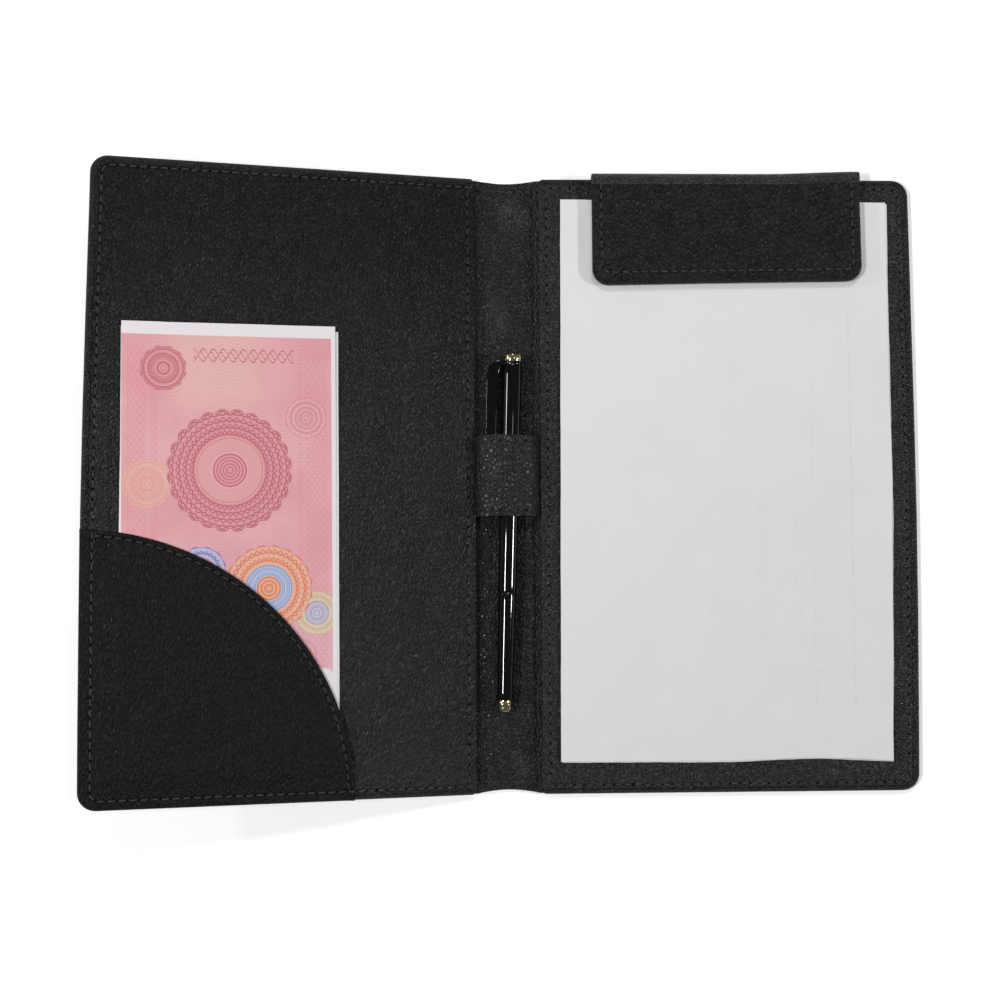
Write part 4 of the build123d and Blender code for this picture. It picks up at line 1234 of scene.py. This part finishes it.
def note_paper(name):
    """A made-up banknote: engine-turned line work and rosettes in rose, orange, blue and green on white paper."""
    n = Nodes(name)
    p = n.flat()
    x, y, zz = n.split(p)
    white = (0.70, 0.66, 0.68)
    fibre = n.noise(p, 2.5, 4, 0.6)
    paper = n.mix(n.math("MULTIPLY", fibre, 0.25), white, (0.60, 0.55, 0.57))
    rose, deep = (0.60, 0.20, 0.235), (0.40, 0.055, 0.085)
    low = n.math("MULTIPLY_ADD", n.noise(p, 0.12, 2), 3.0, n.math("MULTIPLY", n.math("ABSOLUTE", n.math("SINE", n.math("MULTIPLY", x, 0.42))), 1.6))
    field = n.math("MULTIPLY", band_mask(n, x, -36.8, 36.6, 0.12), n.math("MULTIPLY", band_mask(n, y, -80.0, 73.0, 0.12), n.range(n.math("SUBTRACT", y, low), -49.3, -48.7)))
    # ground: a wash that drifts from rose to lilac and straw, under fine crossing waves
    wash = n.mix(n.range(n.noise(p, 0.045, 2), 0.35, 0.65), (0.67, 0.37, 0.395), (0.62, 0.30, 0.33))
    wash = n.mix(n.range(y, -50, 5, 0.7, 0.0), wash, (0.63, 0.43, 0.50))
    wash = n.mix(n.math("MULTIPLY", band_mask(n, x, -20, 12, 8), band_mask(n, y, 48, 76, 6)), wash, (0.66, 0.41, 0.385))
    s1 = n.math("SINE", n.math("MULTIPLY", x, 0.42))
    s2 = n.math("SINE", n.math("MULTIPLY_ADD", x, 0.27, n.math("MULTIPLY", y, 0.05)))
    w1 = n.math("MULTIPLY_ADD", s1, 1.7, n.math("MULTIPLY_ADD", s2, 1.9, y))
    w2 = n.math("MULTIPLY_ADD", s1, -1.7, n.math("MULTIPLY_ADD", s2, 1.9, y))
    l1 = n.range(n.math("ABSOLUTE", n.math("SINE", n.math("MULTIPLY", w1, 2.6))), 0.12, 0.5, 1.0, 0.0)
    l2 = n.range(n.math("ABSOLUTE", n.math("SINE", n.math("MULTIPLY", w2, 2.6))), 0.12, 0.5, 1.0, 0.0)
    c = n.mix(n.math("MULTIPLY", n.math("MAXIMUM", l1, l2), 0.42), wash, rose)
    # lattice columns along both long sides, and a braid across the upper end
    for cx, half, amt in ((-31.8, 3.0, .6), (31.0, 3.6, .55), (-25.6, 0.9, .5), (25.4, 0.9, .5)):
        m = n.math("MULTIPLY", band_mask(n, x, cx - half, cx + half, 0.1), band_mask(n, y, -64, 69, 0.2))
        u = n.math("ABSOLUTE", n.math("SINE", n.math("MULTIPLY_ADD", x, 1.5, n.math("MULTIPLY", y, 1.1))))
        v = n.math("ABSOLUTE", n.math("SINE", n.math("MULTIPLY_ADD", x, 1.5, n.math("MULTIPLY", y, -1.1))))
        lat = n.range(n.math("MINIMUM", u, v), 0.10, 0.34, 1.0, 0.0)
        rim = n.range(n.math("ABSOLUTE", n.math("SUBTRACT", n.math("ABSOLUTE", n.math("SUBTRACT", x, cx)), half)), 0.06, 0.2, 1.0, 0.0)
        c = n.mix(n.math("MULTIPLY", n.math("MULTIPLY", m, n.math("MAXIMUM", lat, rim)), amt), c, rose)
    m = n.math("MULTIPLY", band_mask(n, y, 62.5, 69.5, 0.1), band_mask(n, x, -12, 23, 0.2))
    b1 = n.math("ABSOLUTE", n.math("SUBTRACT", n.math("SUBTRACT", y, 66.0), n.math("MULTIPLY", n.math("SINE", n.math("MULTIPLY", x, 0.9)), 2.2)))
    b2 = n.math("ABSOLUTE", n.math("ADD", n.math("SUBTRACT", y, 66.0), n.math("MULTIPLY", n.math("SINE", n.math("MULTIPLY", x, 0.9)), 2.2)))
    b3 = n.math("ABSOLUTE", n.math("SUBTRACT", n.math("SUBTRACT", y, 66.0), n.math("MULTIPLY", n.math("SINE", n.math("MULTIPLY", x, 1.8)), 1.1)))
    braid = n.range(n.math("MINIMUM", n.math("MINIMUM", b1, b2), b3), 0.12, 0.4, 1.0, 0.0)
    c = n.mix(n.math("MULTIPLY", n.math("MULTIPLY", m, braid), 0.75), c, deep)
    # rosettes: place, size, lobes, wave, rings, strength, then (reach, ground, ink) from the middle out
    red = (0.40, 0.055, 0.085)
    spec = [
        (-28.0, 20.0, 9.0, 20, .10, 7, .40, ((1.0, (.68, .46, .32), (.66, .26, .10)),)),
        (27.5, 44.0, 7.5, 20, .10, 6, .45, ((1.0, (.64, .33, .36), red),)),
        (0.5, 25.0, 22.0, 48, .06, 15, .92, ((.28, (.60, .26, .29), red), (.54, (.66, .38, .40), (.52, .10, .12)),
                                             (1.0, (.55, .19, .23), (.36, .045, .07)))),
        (-22.5, 61.0, 8.0, 24, .08, 7, .90, ((.54, (.62, .28, .31), red), (1.0, (.56, .20, .24), red))),
        (31.0, -26.0, 8.0, 24, .10, 6, .60, ((.54, (.42, .55, .66), (.10, .26, .46)), (1.0, (.60, .60, .34), (.34, .40, .12)))),
        (14.0, -17.0, 15.5, 40, .08, 9, .94, ((.28, (.66, .34, .20), (.58, .10, .04)), (.54, (.40, .50, .66), (.07, .16, .42)),
                                              (1.0, (.66, .34, .20), (.60, .11, .05)))),
        (-9.5, -10.5, 8.6, 24, .10, 6, .90, ((.54, (.62, .42, .48), (.50, .10, .16)), (1.0, (.34, .38, .60), (.06, .10, .36)))),
        (3.0, -41.0, 9.0, 24, .10, 7, .80, ((1.0, (.62, .32, .34), red),)),
        (24.0, -42.0, 7.0, 20, .10, 6, .60, ((1.0, (.64, .36, .34), (.50, .10, .10)),)),
    ]
    for cx, cy, size, petals, wave, rings, amt, zones in spec:
        inside, ink, r = rosette(n, x, y, cx, cy, size, petals, wave, rings)
        ground, pen_colour = zones[0][1], zones[0][2]
        for k in range(1, len(zones)):
            out = n.range(n.math("SUBTRACT", r, zones[k - 1][0] * size), -0.15, 0.15)
            ground = n.mix(out, ground, zones[k][1])
            pen_colour = n.mix(out, pen_colour, zones[k][2])
        pale = n.range(r, 0.0, size * 1.1, 0.0, 0.30)
        ground = n.mix(pale, ground, (0.70, 0.52, 0.50))
        c = n.mix(n.math("MULTIPLY", inside, amt), c, n.mix(n.math("MULTIPLY", ink, 0.85), ground, pen_colour))
    c = n.mix(field, paper, c)
    wear = n.range(n.noise(p, 0.6, 4, 0.65), 0.62, 0.85)
    c = n.mix(n.math("MULTIPLY", wear, 0.35), c, white)
    crease = n.noise(n.map(p, 70, (0.05, 0.02, 0.05)), 1.0, 3, 0.5)
    b = n.bump(crease, 0.0010)
    b = n.bump(fibre, 0.00002, b)
    n.set(Base_Color=c, Roughness=n.range(fibre, 0.2, 0.8, 0.5, 0.68), Normal=b, Specular_IOR_Level=0.35)
    return n.done()


# ------------------------------------------------------------------ pen
PEN_X0, PEN_Y0, PEN_Z, PEN_TILT = -1.7, -84.1, 5.2, math.radians(1.64)
PEN_DIR = np.array([math.sin(PEN_TILT), math.cos(PEN_TILT), 0])
PEN_SIDE = np.array([math.cos(PEN_TILT), -math.sin(PEN_TILT), 0])


def pen_point(x, s, z=0.0):
    return np.array([PEN_X0, PEN_Y0, PEN_Z]) + PEN_DIR * s + PEN_SIDE * x + np.array([0, 0, z])


def turned(name, profile, body, mat, n=72, sharp=35, replaces=(), divide=0.0, closed=False):
    """A piece turned about the pen's axis from (radius, distance from the nose) points."""
    pts = []
    for i in range(len(profile) - 1):
        (r0, s0), (r1, s1) = profile[i], profile[i + 1]
        k = max(1, int(abs(s1 - s0) / divide)) if divide else 1
        for t in range(k):
            pts.append((r0 + (r1 - r0) * t / k, s0 + (s1 - s0) * t / k))
    pts.append(profile[-1])
    rings, flats = [], []
    for r, s in pts:
        a = np.linspace(0, 2 * np.pi, n, endpoint=False)
        rings.append(np.array([pen_point(r * math.cos(t), s, r * math.sin(t)) for t in a]))
        flats += [(r * math.cos(t), s, r * math.sin(t)) for t in a]
    v, f = loft(rings)
    if closed:
        f += [tuple(((len(rings) - 1) * n + j, (len(rings) - 1) * n + (j + 1) % n, (j + 1) % n, j)) for j in range(n)]
    else:
        f.append(tuple(reversed(range(n))))
        f.append(tuple(range((len(rings) - 1) * n, len(rings) * n)))
    ob = build(name, v, f, mat, body, flat=flats, flip=True, sharp=sharp)
    if replaces:
        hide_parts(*replaces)
    return ob


def lacquer(name):
    n = Nodes(name)
    p = n.flat()
    fine = n.noise(n.map(p, 0, (1.0, 0.12, 1.0)), 1.6, 3, 0.6)
    dust = n.range(n.noise(p, 5.0, 4, 0.7), 0.66, 0.8)
    c = n.mix(n.math("MULTIPLY", dust, 0.25), (0.0010, 0.0012, 0.0012), (0.02, 0.02, 0.021))
    b = n.bump(n.noise(n.map(p, 0, (0.5, 0.05, 0.5)), 1.0, 2), 0.00002)
    n.set(Base_Color=c, Roughness=n.range(fine, 0.3, 0.7, 0.025, 0.06), Normal=b, Specular_IOR_Level=0.5, IOR=1.52)
    return n.done()


def gold(name):
    n = Nodes(name)
    p = n.flat()
    brush = n.noise(n.map(p, 0, (0.3, 3.0, 0.3)), 2.2, 3, 0.6)
    tarnish = n.noise(p, 0.7, 3, 0.6)
    c = n.mix(n.range(tarnish, 0.4, 0.75), (0.74, 0.63, 0.36), (0.55, 0.46, 0.25))
    n.set(Base_Color=c, Metallic=1.0, Roughness=n.range(brush, 0.3, 0.7, 0.08, 0.17), Normal=n.bump(brush, 0.000010))
    return n.done()


def metal(name, colour, rough=(0.25, 0.4)):
    n = Nodes(name)
    p = n.flat() if name != "steel" else n.nt.nodes.new("ShaderNodeTexCoord").outputs["Object"]
    k = 1.0 if name != "steel" else 1000.0
    brush = n.noise(n.map(p, 0, (0.5 * k, 3.0 * k, 0.5 * k)), 1.5, 3, 0.6)
    c = n.mix(brush, tuple(a * .8 for a in colour), colour)
    n.set(Base_Color=c, Metallic=1.0, Roughness=n.range(brush, 0.3, 0.7, *rough), Normal=n.bump(brush, 0.00001))
    return n.done()


def extrude_outline(name, pts, half, body, mat, bevel=0.35, replaces=()):
    """A flat part cut to an outline of (x, s) points in the pen's plane, with rounded edges."""
    import bmesh
    bm = bmesh.new()
    lo = [bm.verts.new(tuple(row([pen_point(x, s, -half)])[0])) for x, s in pts]
    hi = [bm.verts.new(tuple(row([pen_point(x, s, half)])[0])) for x, s in pts]
    bm.faces.new(lo)
    bm.faces.new(list(reversed(hi)))
    for i in range(len(pts)):
        j = (i + 1) % len(pts)
        bm.faces.new((lo[j], lo[i], hi[i], hi[j]))
    bmesh.ops.recalc_face_normals(bm, faces=bm.faces)
    ring = [e for e in bm.edges if len({v in lo for v in e.verts}) == 1]
    bmesh.ops.bevel(bm, geom=ring, offset=bevel * MM, segments=4, profile=0.6, affect="EDGES", clamp_overlap=True)
    me = bpy.data.meshes.new(name)
    bm.to_mesh(me)
    bm.free()
    me.polygons.foreach_set("use_smooth", [True] * len(me.polygons))
    me.set_sharp_from_angle(angle=math.radians(40))
    co = np.array([v.co for v in me.vertices]) / MM - SHIFT
    rel = co - np.array([PEN_X0, PEN_Y0, PEN_Z])
    flat = np.stack([rel @ PEN_SIDE, rel @ PEN_DIR, rel[:, 2]], 1)
    a = me.attributes.new("flat_mm", "FLOAT_VECTOR", "POINT")
    a.data.foreach_set("vector", flat.astype(np.float32).ravel())
    me.materials.append(mat)
    ob = bpy.data.objects.new(name, me)
    bpy.context.scene.collection.objects.link(ob)
    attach(ob, body)
    if replaces:
        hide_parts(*replaces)
    return ob


M_POCKET = leather("leather_pocket", (0.0011, 0.0012, 0.0011), (0.0075, 0.0080, 0.0077), turn=6, stretch=2.8, cell=0.92, depth=0.00050,
                   rough=(0.38, 0.48), specular=0.19, wear=0.25)
# the fold's leather is the flap's leather painted several times lighter: a painted sheen for the light catching the
# rounded fold
M_FOLD_SHEEN = leather("leather_fold_painted_sheen", (0.0070, 0.0076, 0.0074), (0.0330, 0.0350, 0.0340), turn=80, stretch=1.4, cell=0.95,
                 rough=(0.25, 0.36), wear=0.9)
M_PAPER = check_paper("check_paper_top", (0.695, 0.695, 0.690))
# the lower sheet is the same paper painted darker: painted shade for the sheet lying under the top one
M_PAPER_BACK = check_paper("check_paper_bottom", (0.63, 0.63, 0.628))
M_NOTE = note_paper("note_front")
M_NOTE_BACK = note_paper("note_back")
M_LACQUER = lacquer("pen_lacquer")
M_GOLD = gold("pen_gold_plate")
M_REFILL = metal("refill_brass", (0.62, 0.52, 0.36))
M_STEEL = metal("steel", (0.55, 0.55, 0.56))
M_INNER = metal("mechanism_grey", (0.25, 0.25, 0.26), (0.45, 0.6))

# ------------------------------------------------------------------ covers
back_height, seam_path, spine_seam = cover("back", False, 4.1)
front_height, _, _ = cover("front", True, 9.3)

stitches("back_seam_stitches", on_panel(seam_path, back_height, 0.10), "back_cover", replaces=("back_edge_thread",), bow=True, seed=3)
stitches("back_spine_stitches", on_panel(spine_seam, back_height, 0.10), "back_cover", bow=True, seed=5)

marks = np.concatenate([hole_marks(seam_path), hole_marks(spine_seam)])
arc_r = POCKET_R - 2.1
x_in, y_in = COVER_X1 - SEAM_IN[0], -COVER_Y + SEAM_IN[2]
a0 = math.degrees(math.asin((y_in - POCKET_C[1]) / arc_r))
a1 = math.degrees(math.acos((x_in - POCKET_C[0]) / arc_r))
pocket_seam = arc(POCKET_C[0], POCKET_C[1], arc_r, a1, 180 - a0, 160)
pocket_marks = np.concatenate([hole_marks(pocket_seam), marks])
pocket_z = pocket_height(pocket_marks)
pocket = make_pocket(pocket_z)


def on_front(path, extra):
    under = pocket_arc_distance(path[:, 0], path[:, 1]) > 0.1
    z = np.where(under, pocket_z(path[:, 0], path[:, 1], False), front_height(path[:, 0], path[:, 1], False))
    return np.column_stack([path, z + extra])


stitches("front_seam_stitches", on_front(seam_path, 0.10), "front_cover", front=True, replaces=("front_edge_thread",), bow=True, seed=7,
         mats=[M_THREAD_GLINT, M_HOLE_SHADE])
stitches("front_spine_stitches", on_panel(spine_seam, front_height, 0.10), "front_cover", front=True, bow=True, seed=9)
stitches("pocket_stitches", np.column_stack([pocket_seam, pocket_z(pocket_seam[:, 0], pocket_seam[:, 1], False) + 0.10]),
         "front_cover", front=True, replaces=("pocket_thread",), bow=True, seed=11)

# ------------------------------------------------------------------ spine and creases
spine = spine_slab("spine_leather", np.linspace(-10.55, 10.55, 44), M_SPINE, "spine")
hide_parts("spine_outer_skin", "spine_stiffener", "spine_lining")
crease_xs = np.array([10.40, 10.6, 10.9, 11.2, 11.5, 11.8, 12.1, 12.3, 12.32, 12.6, 12.9])
back_crease = spine_slab("back_crease_strip", crease_xs, M_CREASE, None, tuck=True)
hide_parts("back_crease_leather")
front_crease = spine_slab("front_crease_strip", -crease_xs[::-1], M_CREASE, None, tuck=True)


def bend_rest(ob):
    """Gives a flat piece over the front crease its bend at rest."""
    co = np.empty(len(ob.data.vertices) * 3)
    ob.data.vertices.foreach_get("co", co)
    p = co.reshape(-1, 3) / MM - SHIFT
    share = smooth((-p[:, 0] - 11.0) / 1.6)
    ob.data.vertices.foreach_set("co", row(lift(p, share)).ravel())
    ob.data.update()


bend_rest(front_crease)
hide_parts("front_crease_leather")
FRONT_A, FRONT_B = (-11.0, 0, 0.5), (-12.6, 0, 0.5)
front_from, front_to = row_point(*FRONT_A), tuple(row(lift([FRONT_B]))[0])
back_from, back_to = row_point(11.0, 0, 0.5), row_point(12.6, 0, 0.5)

loop_path, _ = spline(LOOP_LINE, 128)
first = int(np.argmax(loop_path[:, 0] > -9.1))
last = int(np.argmax(loop_path[:, 0] > 8.9))
arclen = np.concatenate([[0], np.cumsum(np.linalg.norm(np.diff(loop_path, axis=0), axis=1))])


def loop_part(name, i, j, body):
    start = arclen[i]
    return band(name, loop_path, LOOP_Y0, LOOP_Y1, 0.60, M_LOOP, body, bulge=loop_bulge, wave=0.10, part=(i, j))


loop = loop_part("pen_loop_leather", first, last + 1, "spine")
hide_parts("pen_loop")
tab_l = loop_part("pen_loop_tab_front", 0, first + 1, None)
tab_r = loop_part("pen_loop_tab_back", last, len(loop_path), None)
bend_rest(tab_l)


def loop_stitch(y):
    """Line of stitches round the loop beside one of its edges."""
    p = loop_path[first:last + 1]
    t = np.gradient(p, axis=0)
    t /= np.linalg.norm(t, axis=1)[:, None]
    nrm = np.stack([-t[:, 1], t[:, 0]], 1)
    q = p + nrm * 0.40
    return np.column_stack([q[:, 0], np.full(len(q), y), q[:, 1]]), np.column_stack([nrm[:, 0], np.zeros(len(q)), nrm[:, 1]])


p1, u1 = loop_stitch(LOOP_Y0 + 2.2)
lo_st = stitches("loop_stitches_low", p1, "spine", ups=u1, pitch=3.2, gap=0.7, width=0.42, height=0.3, replaces=("pen_loop_thread",), seed=13)
p2, u2 = loop_stitch(LOOP_Y1 - 2.2)
stitches("loop_stitches_high", p2, "spine", ups=u2, pitch=3.2, gap=0.7, width=0.42, height=0.3, seed=15)

for y, nm in ((-109.9, "low"), (109.9, "high")):
    hx = np.linspace(-10.2, 10.2, 60)
    hz = spine_top(hx, np.full(60, y))
    stitches(f"spine_hem_stitches_{nm}", np.column_stack([hx, np.full(60, y), hz + 0.1]), "spine", pitch=3.4, gap=0.6,
             width=0.4, height=0.28, seed=17)

for ob, a, b, s, e in ((back_crease, "spine", "back_cover", back_from, back_to),
                       (front_crease, "spine", "front_cover", front_from, front_to),
                       (tab_r, "spine", "back_cover", row_point(10.4, 0, 0.5), back_to),
                       (tab_l, "spine", "front_cover", row_point(-10.5, 0, 0.5), front_to)):
    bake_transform(ob)
    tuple(s)
    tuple(e)

# ------------------------------------------------------------------ flap
flap_z, flap_seam = make_flap()
flap_path = np.column_stack([flap_seam, flap_z(flap_seam[:, 0], flap_seam[:, 1], False) + 0.10])
stitches("flap_stitches", flap_shear(flap_path), "clip_flap", replaces=("clip_thread",), seed=19, width=0.5, height=0.4, mats=[M_THREAD_GLINT, M_HOLE_SHADE])
make_fold()
for i, x in enumerate((FLAP[0] + 3.4, FLAP[1] - 3.4)):
    p, u = fold_stitch_path(x)
    p = fold_shift(p)
    st = stitches(f"fold_stitches_{i}", p, None, ups=u, pitch=3.6, width=0.55, height=0.38, seed=21 + i)
    row_point(82.3, 113.3, 7.3)
    row_point(82.3, 113.3, 3.8)
    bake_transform(st)

# ------------------------------------------------------------------ paper and note
def check_rise(u, v):
    low = smooth((-v - 45) / 60)
    right, left = smooth((u - 20) / 42), smooth((-u - 20) / 42)
    top = smooth((60 - v) / 30)
    w = wobble(u, v, 60.0, 3.0) * 0.25 + wobble(u, v, 26.0, 5.0) * 0.10
    return top * (0.12 + np.abs(w) + 0.55 * low * right + 0.25 * low * left + 0.30 * right * smooth((60 - v) / 50) + 0.20 * left)


def bottom_rise(u, v):
    return 0.06 * smooth((60 - v) / 40) * (1 + wobble(u, v, 40.0, 8.0)) * 0.5


def check_shape(u, v, x, y):
    """The pad's edges: a little full at the right, trimmed unevenly along the bottom."""
    right = 0.75 * math.exp(-((y + 3) / 45) ** 2) - 0.5 * min(max((-70 - y) / 25, 0), 1)
    dx = max(u, 0) ** 5 * right + max(-u, 0) ** 5 * 0.4
    dy = max(-v, 0) ** 7 * (0.55 + 1.2 * math.exp(-((x - 32) / 24) ** 2))
    return dx, dy


s1 = sheet("check_sheet_top_paper", 81.0, 1.25, -0.4, 123.5, 209.5, 3.42, M_PAPER, "check_sheets", check_rise, seed=1.3,
           shape=check_shape)
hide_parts("check_sheet_top")
s2 = sheet("check_sheet_bottom_paper", 81.5, 0.72, -0.45, 123.5, 209.5, 3.24, M_PAPER_BACK, "check_sheets", bottom_rise, seed=2.9,
           shape=check_shape)
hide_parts("check_sheet_bottom")


def note_rise(u, v):
    free = smooth((v + 8) / 40)
    return free * (0.10 + 0.35 * smooth((np.abs(u) - 14) / 24) * smooth((v - 20) / 50)) * 1.0


def note_rise_back(u, v):
    return 0.0 * u


def note_shape(u, v, x, y):
    """The note narrows a little at its free end, where it curls; drawn mirrored, so its left is at positive u."""
    k = min(max((v + 0.3) / 1.2, 0), 1)
    return -max(u, 0) ** 3 * (0.35 + 1.0 * k), 0.0


n1 = sheet("cash_note_front_paper", 102.15, -21.8, -0.5, 76.3, 155.0, 3.42, M_NOTE, "cash_notes", note_rise, front=True, wavy=0.05, seed=0.7,
           shape=note_shape)
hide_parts("cash_note_front")
n2 = sheet("cash_note_back_paper", 101.25, -23.5, -0.3, 76.3, 155.0, 3.24, M_NOTE_BACK, "cash_notes", note_rise_back, front=True, wavy=0.05, seed=2.2)
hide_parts("cash_note_back")

# ------------------------------------------------------------------ pen
turned("pen_lower_tube", [(2.0, 4.0), (2.72, 4.2), (2.86, 4.32), (2.92, 4.6), (3.0, 8.0), (3.15, 24.0), (3.33, 42.6), (3.28, 43.0),
                          (3.1, 43.25), (2.4, 43.25)], "pen_lower", M_LACQUER, replaces=("pen_lower_barrel",), divide=4.0)
turned("pen_nose", [(1.34, 1.2), (1.38, 0.25), (1.52, 0.02), (1.75, 0.0), (2.05, 0.1), (2.3, 0.36), (2.45, 0.75), (2.52, 1.4), (2.54, 2.6),
                    (2.6, 2.75), (2.6, 3.05), (2.52, 3.2), (2.54, 4.3), (2.2, 4.4)], "pen_lower", M_GOLD,
       replaces=("pen_nose_cone",), closed=True)
turned("pen_upper_tube", [(2.4, 43.3), (3.25, 43.4), (3.4, 43.55), (3.47, 43.9), (3.5, 44.4), (3.53, 61.0), (3.6, 100.0), (3.6, 127.3),
                          (3.5, 127.6), (2.9, 127.62)], "pen", M_LACQUER, replaces=("pen_upper_barrel",), divide=4.0)
turned("pen_top_button", [(3.2, 128.7), (3.55, 128.85), (3.62, 129.1), (3.62, 130.95), (3.57, 131.18), (3.42, 131.32), (3.1, 131.38), (0.2, 131.42)],
       "pen", M_GOLD, replaces=("pen_top_cap",))
turned("pen_collar", [(3.3, 127.5), (3.52, 127.6), (3.57, 127.75), (3.57, 128.6), (3.52, 128.75), (3.1, 128.85)], "pen", M_LACQUER)
ARM = [(-2.6, 128.5), (-3.75, 128.7), (-4.0, 129.3), (-4.8, 129.5), (-5.7, 129.35), (-6.6, 128.9), (-7.3, 128.3), (-8.0, 127.4),
       (-8.5, 126.5), (-8.9, 125.3), (-9.2, 124.0), (-9.4, 122.6), (-9.5, 121.0), (-9.48, 112), (-9.4, 102.0), (-9.2, 93), (-9.05, 88.9),
       (-8.9, 88.1), (-8.5, 87.6), (-7.8, 87.3), (-6.9, 87.4), (-6.1, 87.9), (-5.5, 88.9), (-5.2, 104), (-5.1, 121.5),
       (-5.05, 122.6), (-4.95, 123.6), (-4.8, 124.6), (-4.6, 125.4), (-4.4, 126.2), (-4.2, 126.8), (-4.0, 127.2), (-3.7, 127.4), (-2.6, 127.5)]
extrude_outline("pen_clip_arm", ARM, 1.2, "pen", M_LACQUER, bevel=1.05, replaces=("pen_clip",))

def paint(node, mat):
    ob = bpy.data.objects.get(node)
    if ob is None:
        raise RuntimeError("no CAD object " + node)
    if not ob.data.materials:
        ob.data.materials.append(mat)
    for i in range(len(ob.material_slots)):
        ob.material_slots[i].link = "OBJECT"
        ob.material_slots[i].material = mat


paint("pen_refill", M_REFILL)
paint("pen_twist_mechanism", M_INNER)
paint("clip_magnets", M_STEEL)
paint("clip_keeper_plate", M_STEEL)

# ------------------------------------------------------------------ floor, lights, camera
floor_nodes = Nodes("studio_floor")
fp = floor_nodes.nt.nodes.new("ShaderNodeTexCoord").outputs["Object"]
grain = floor_nodes.noise(fp, 900.0, 2)
floor_nodes.set(Base_Color=floor_nodes.mix(grain, (0.90, 0.90, 0.90), (0.93, 0.93, 0.93)), Roughness=0.9,
                Specular_IOR_Level=0.0, Emission_Color=(1.0, 1.0, 1.0), Emission_Strength=0.12)
me = bpy.data.meshes.new("floor")
F = 3.0
me.from_pydata([(-F, -F, -0.0004), (F, -F, -0.0004), (F, F, -0.0004), (-F, F, -0.0004)], [], [(0, 1, 2, 3)])
me.materials.append(floor_nodes.mat)
floor = bpy.data.objects.new("floor", me)
bpy.context.scene.collection.objects.link(floor)

world = bpy.data.worlds.new("studio")
bpy.context.scene.world = world
world.use_nodes = True
world.node_tree.nodes["Background"].inputs[0].default_value = (1, 1, 1, 1)
world.node_tree.nodes["Background"].inputs[1].default_value = 0.11


def light(name, place, target, w, h, power, colour=(1, 1, 1)):
    data = bpy.data.lights.new(name, "AREA")
    data.shape = "RECTANGLE"
    data.size, data.size_y = w, h
    data.energy = power
    data.color = colour
    ob = bpy.data.objects.new(name, data)
    back = (Vector(place) - Vector(target)).normalized()
    up = Vector((0.0, 1.0, 0.0))
    up = (up - back * up.dot(back)).normalized()
    across = up.cross(back)
    ob.location = place
    ob.rotation_euler = Matrix((across, up, back)).transposed().to_euler()
    bpy.context.scene.collection.objects.link(ob)
    return ob


light("left_strip", (-0.61, -0.11, 0.93), (0, 0, 0), 0.05, 0.30, 7.4)
light("right_strip", (0.93, -0.03, 0.62), (0, 0, 0), 0.05, 0.16, 5.0)
light("top_soft", (0.05, 0.66, 0.98), (0, 0, 0), 0.40, 0.16, 3.4)
light("clip_strip", (-0.95, 0.22, 0.50), (0, 0, 0), 0.05, 0.20, 1.8)
light("glint", (0.34, 0.105, 1.0), (0, 0, 0), 0.05, 0.08, 0.12)

cam = bpy.data.cameras.new("camera")
cam.sensor_fit, cam.sensor_width = "HORIZONTAL", 36.0
cam.lens = 50.4
cam.clip_start = 0.01
camera = bpy.data.objects.new("camera", cam)
R = ((0.999481, -0.005832, 0.031684), (-0.00383, -0.998014, -0.062868), (0.031987, 0.062714, -0.997519))
m = Matrix(((R[0][0], -R[1][0], -R[2][0], -0.020922),
            (R[0][1], -R[1][1], -R[2][1], -0.039623),
            (R[0][2], -R[1][2], -R[2][2], 0.520063),
            (0, 0, 0, 1)))
camera.matrix_world = m
bpy.context.scene.collection.objects.link(camera)
bpy.context.scene.camera = camera
bpy.context.scene.view_settings.view_transform = "Standard"
bpy.context.scene.view_settings.look = "None"
bpy.context.scene.view_settings.exposure = 0.0
bpy.context.scene.view_settings.gamma = 1.0
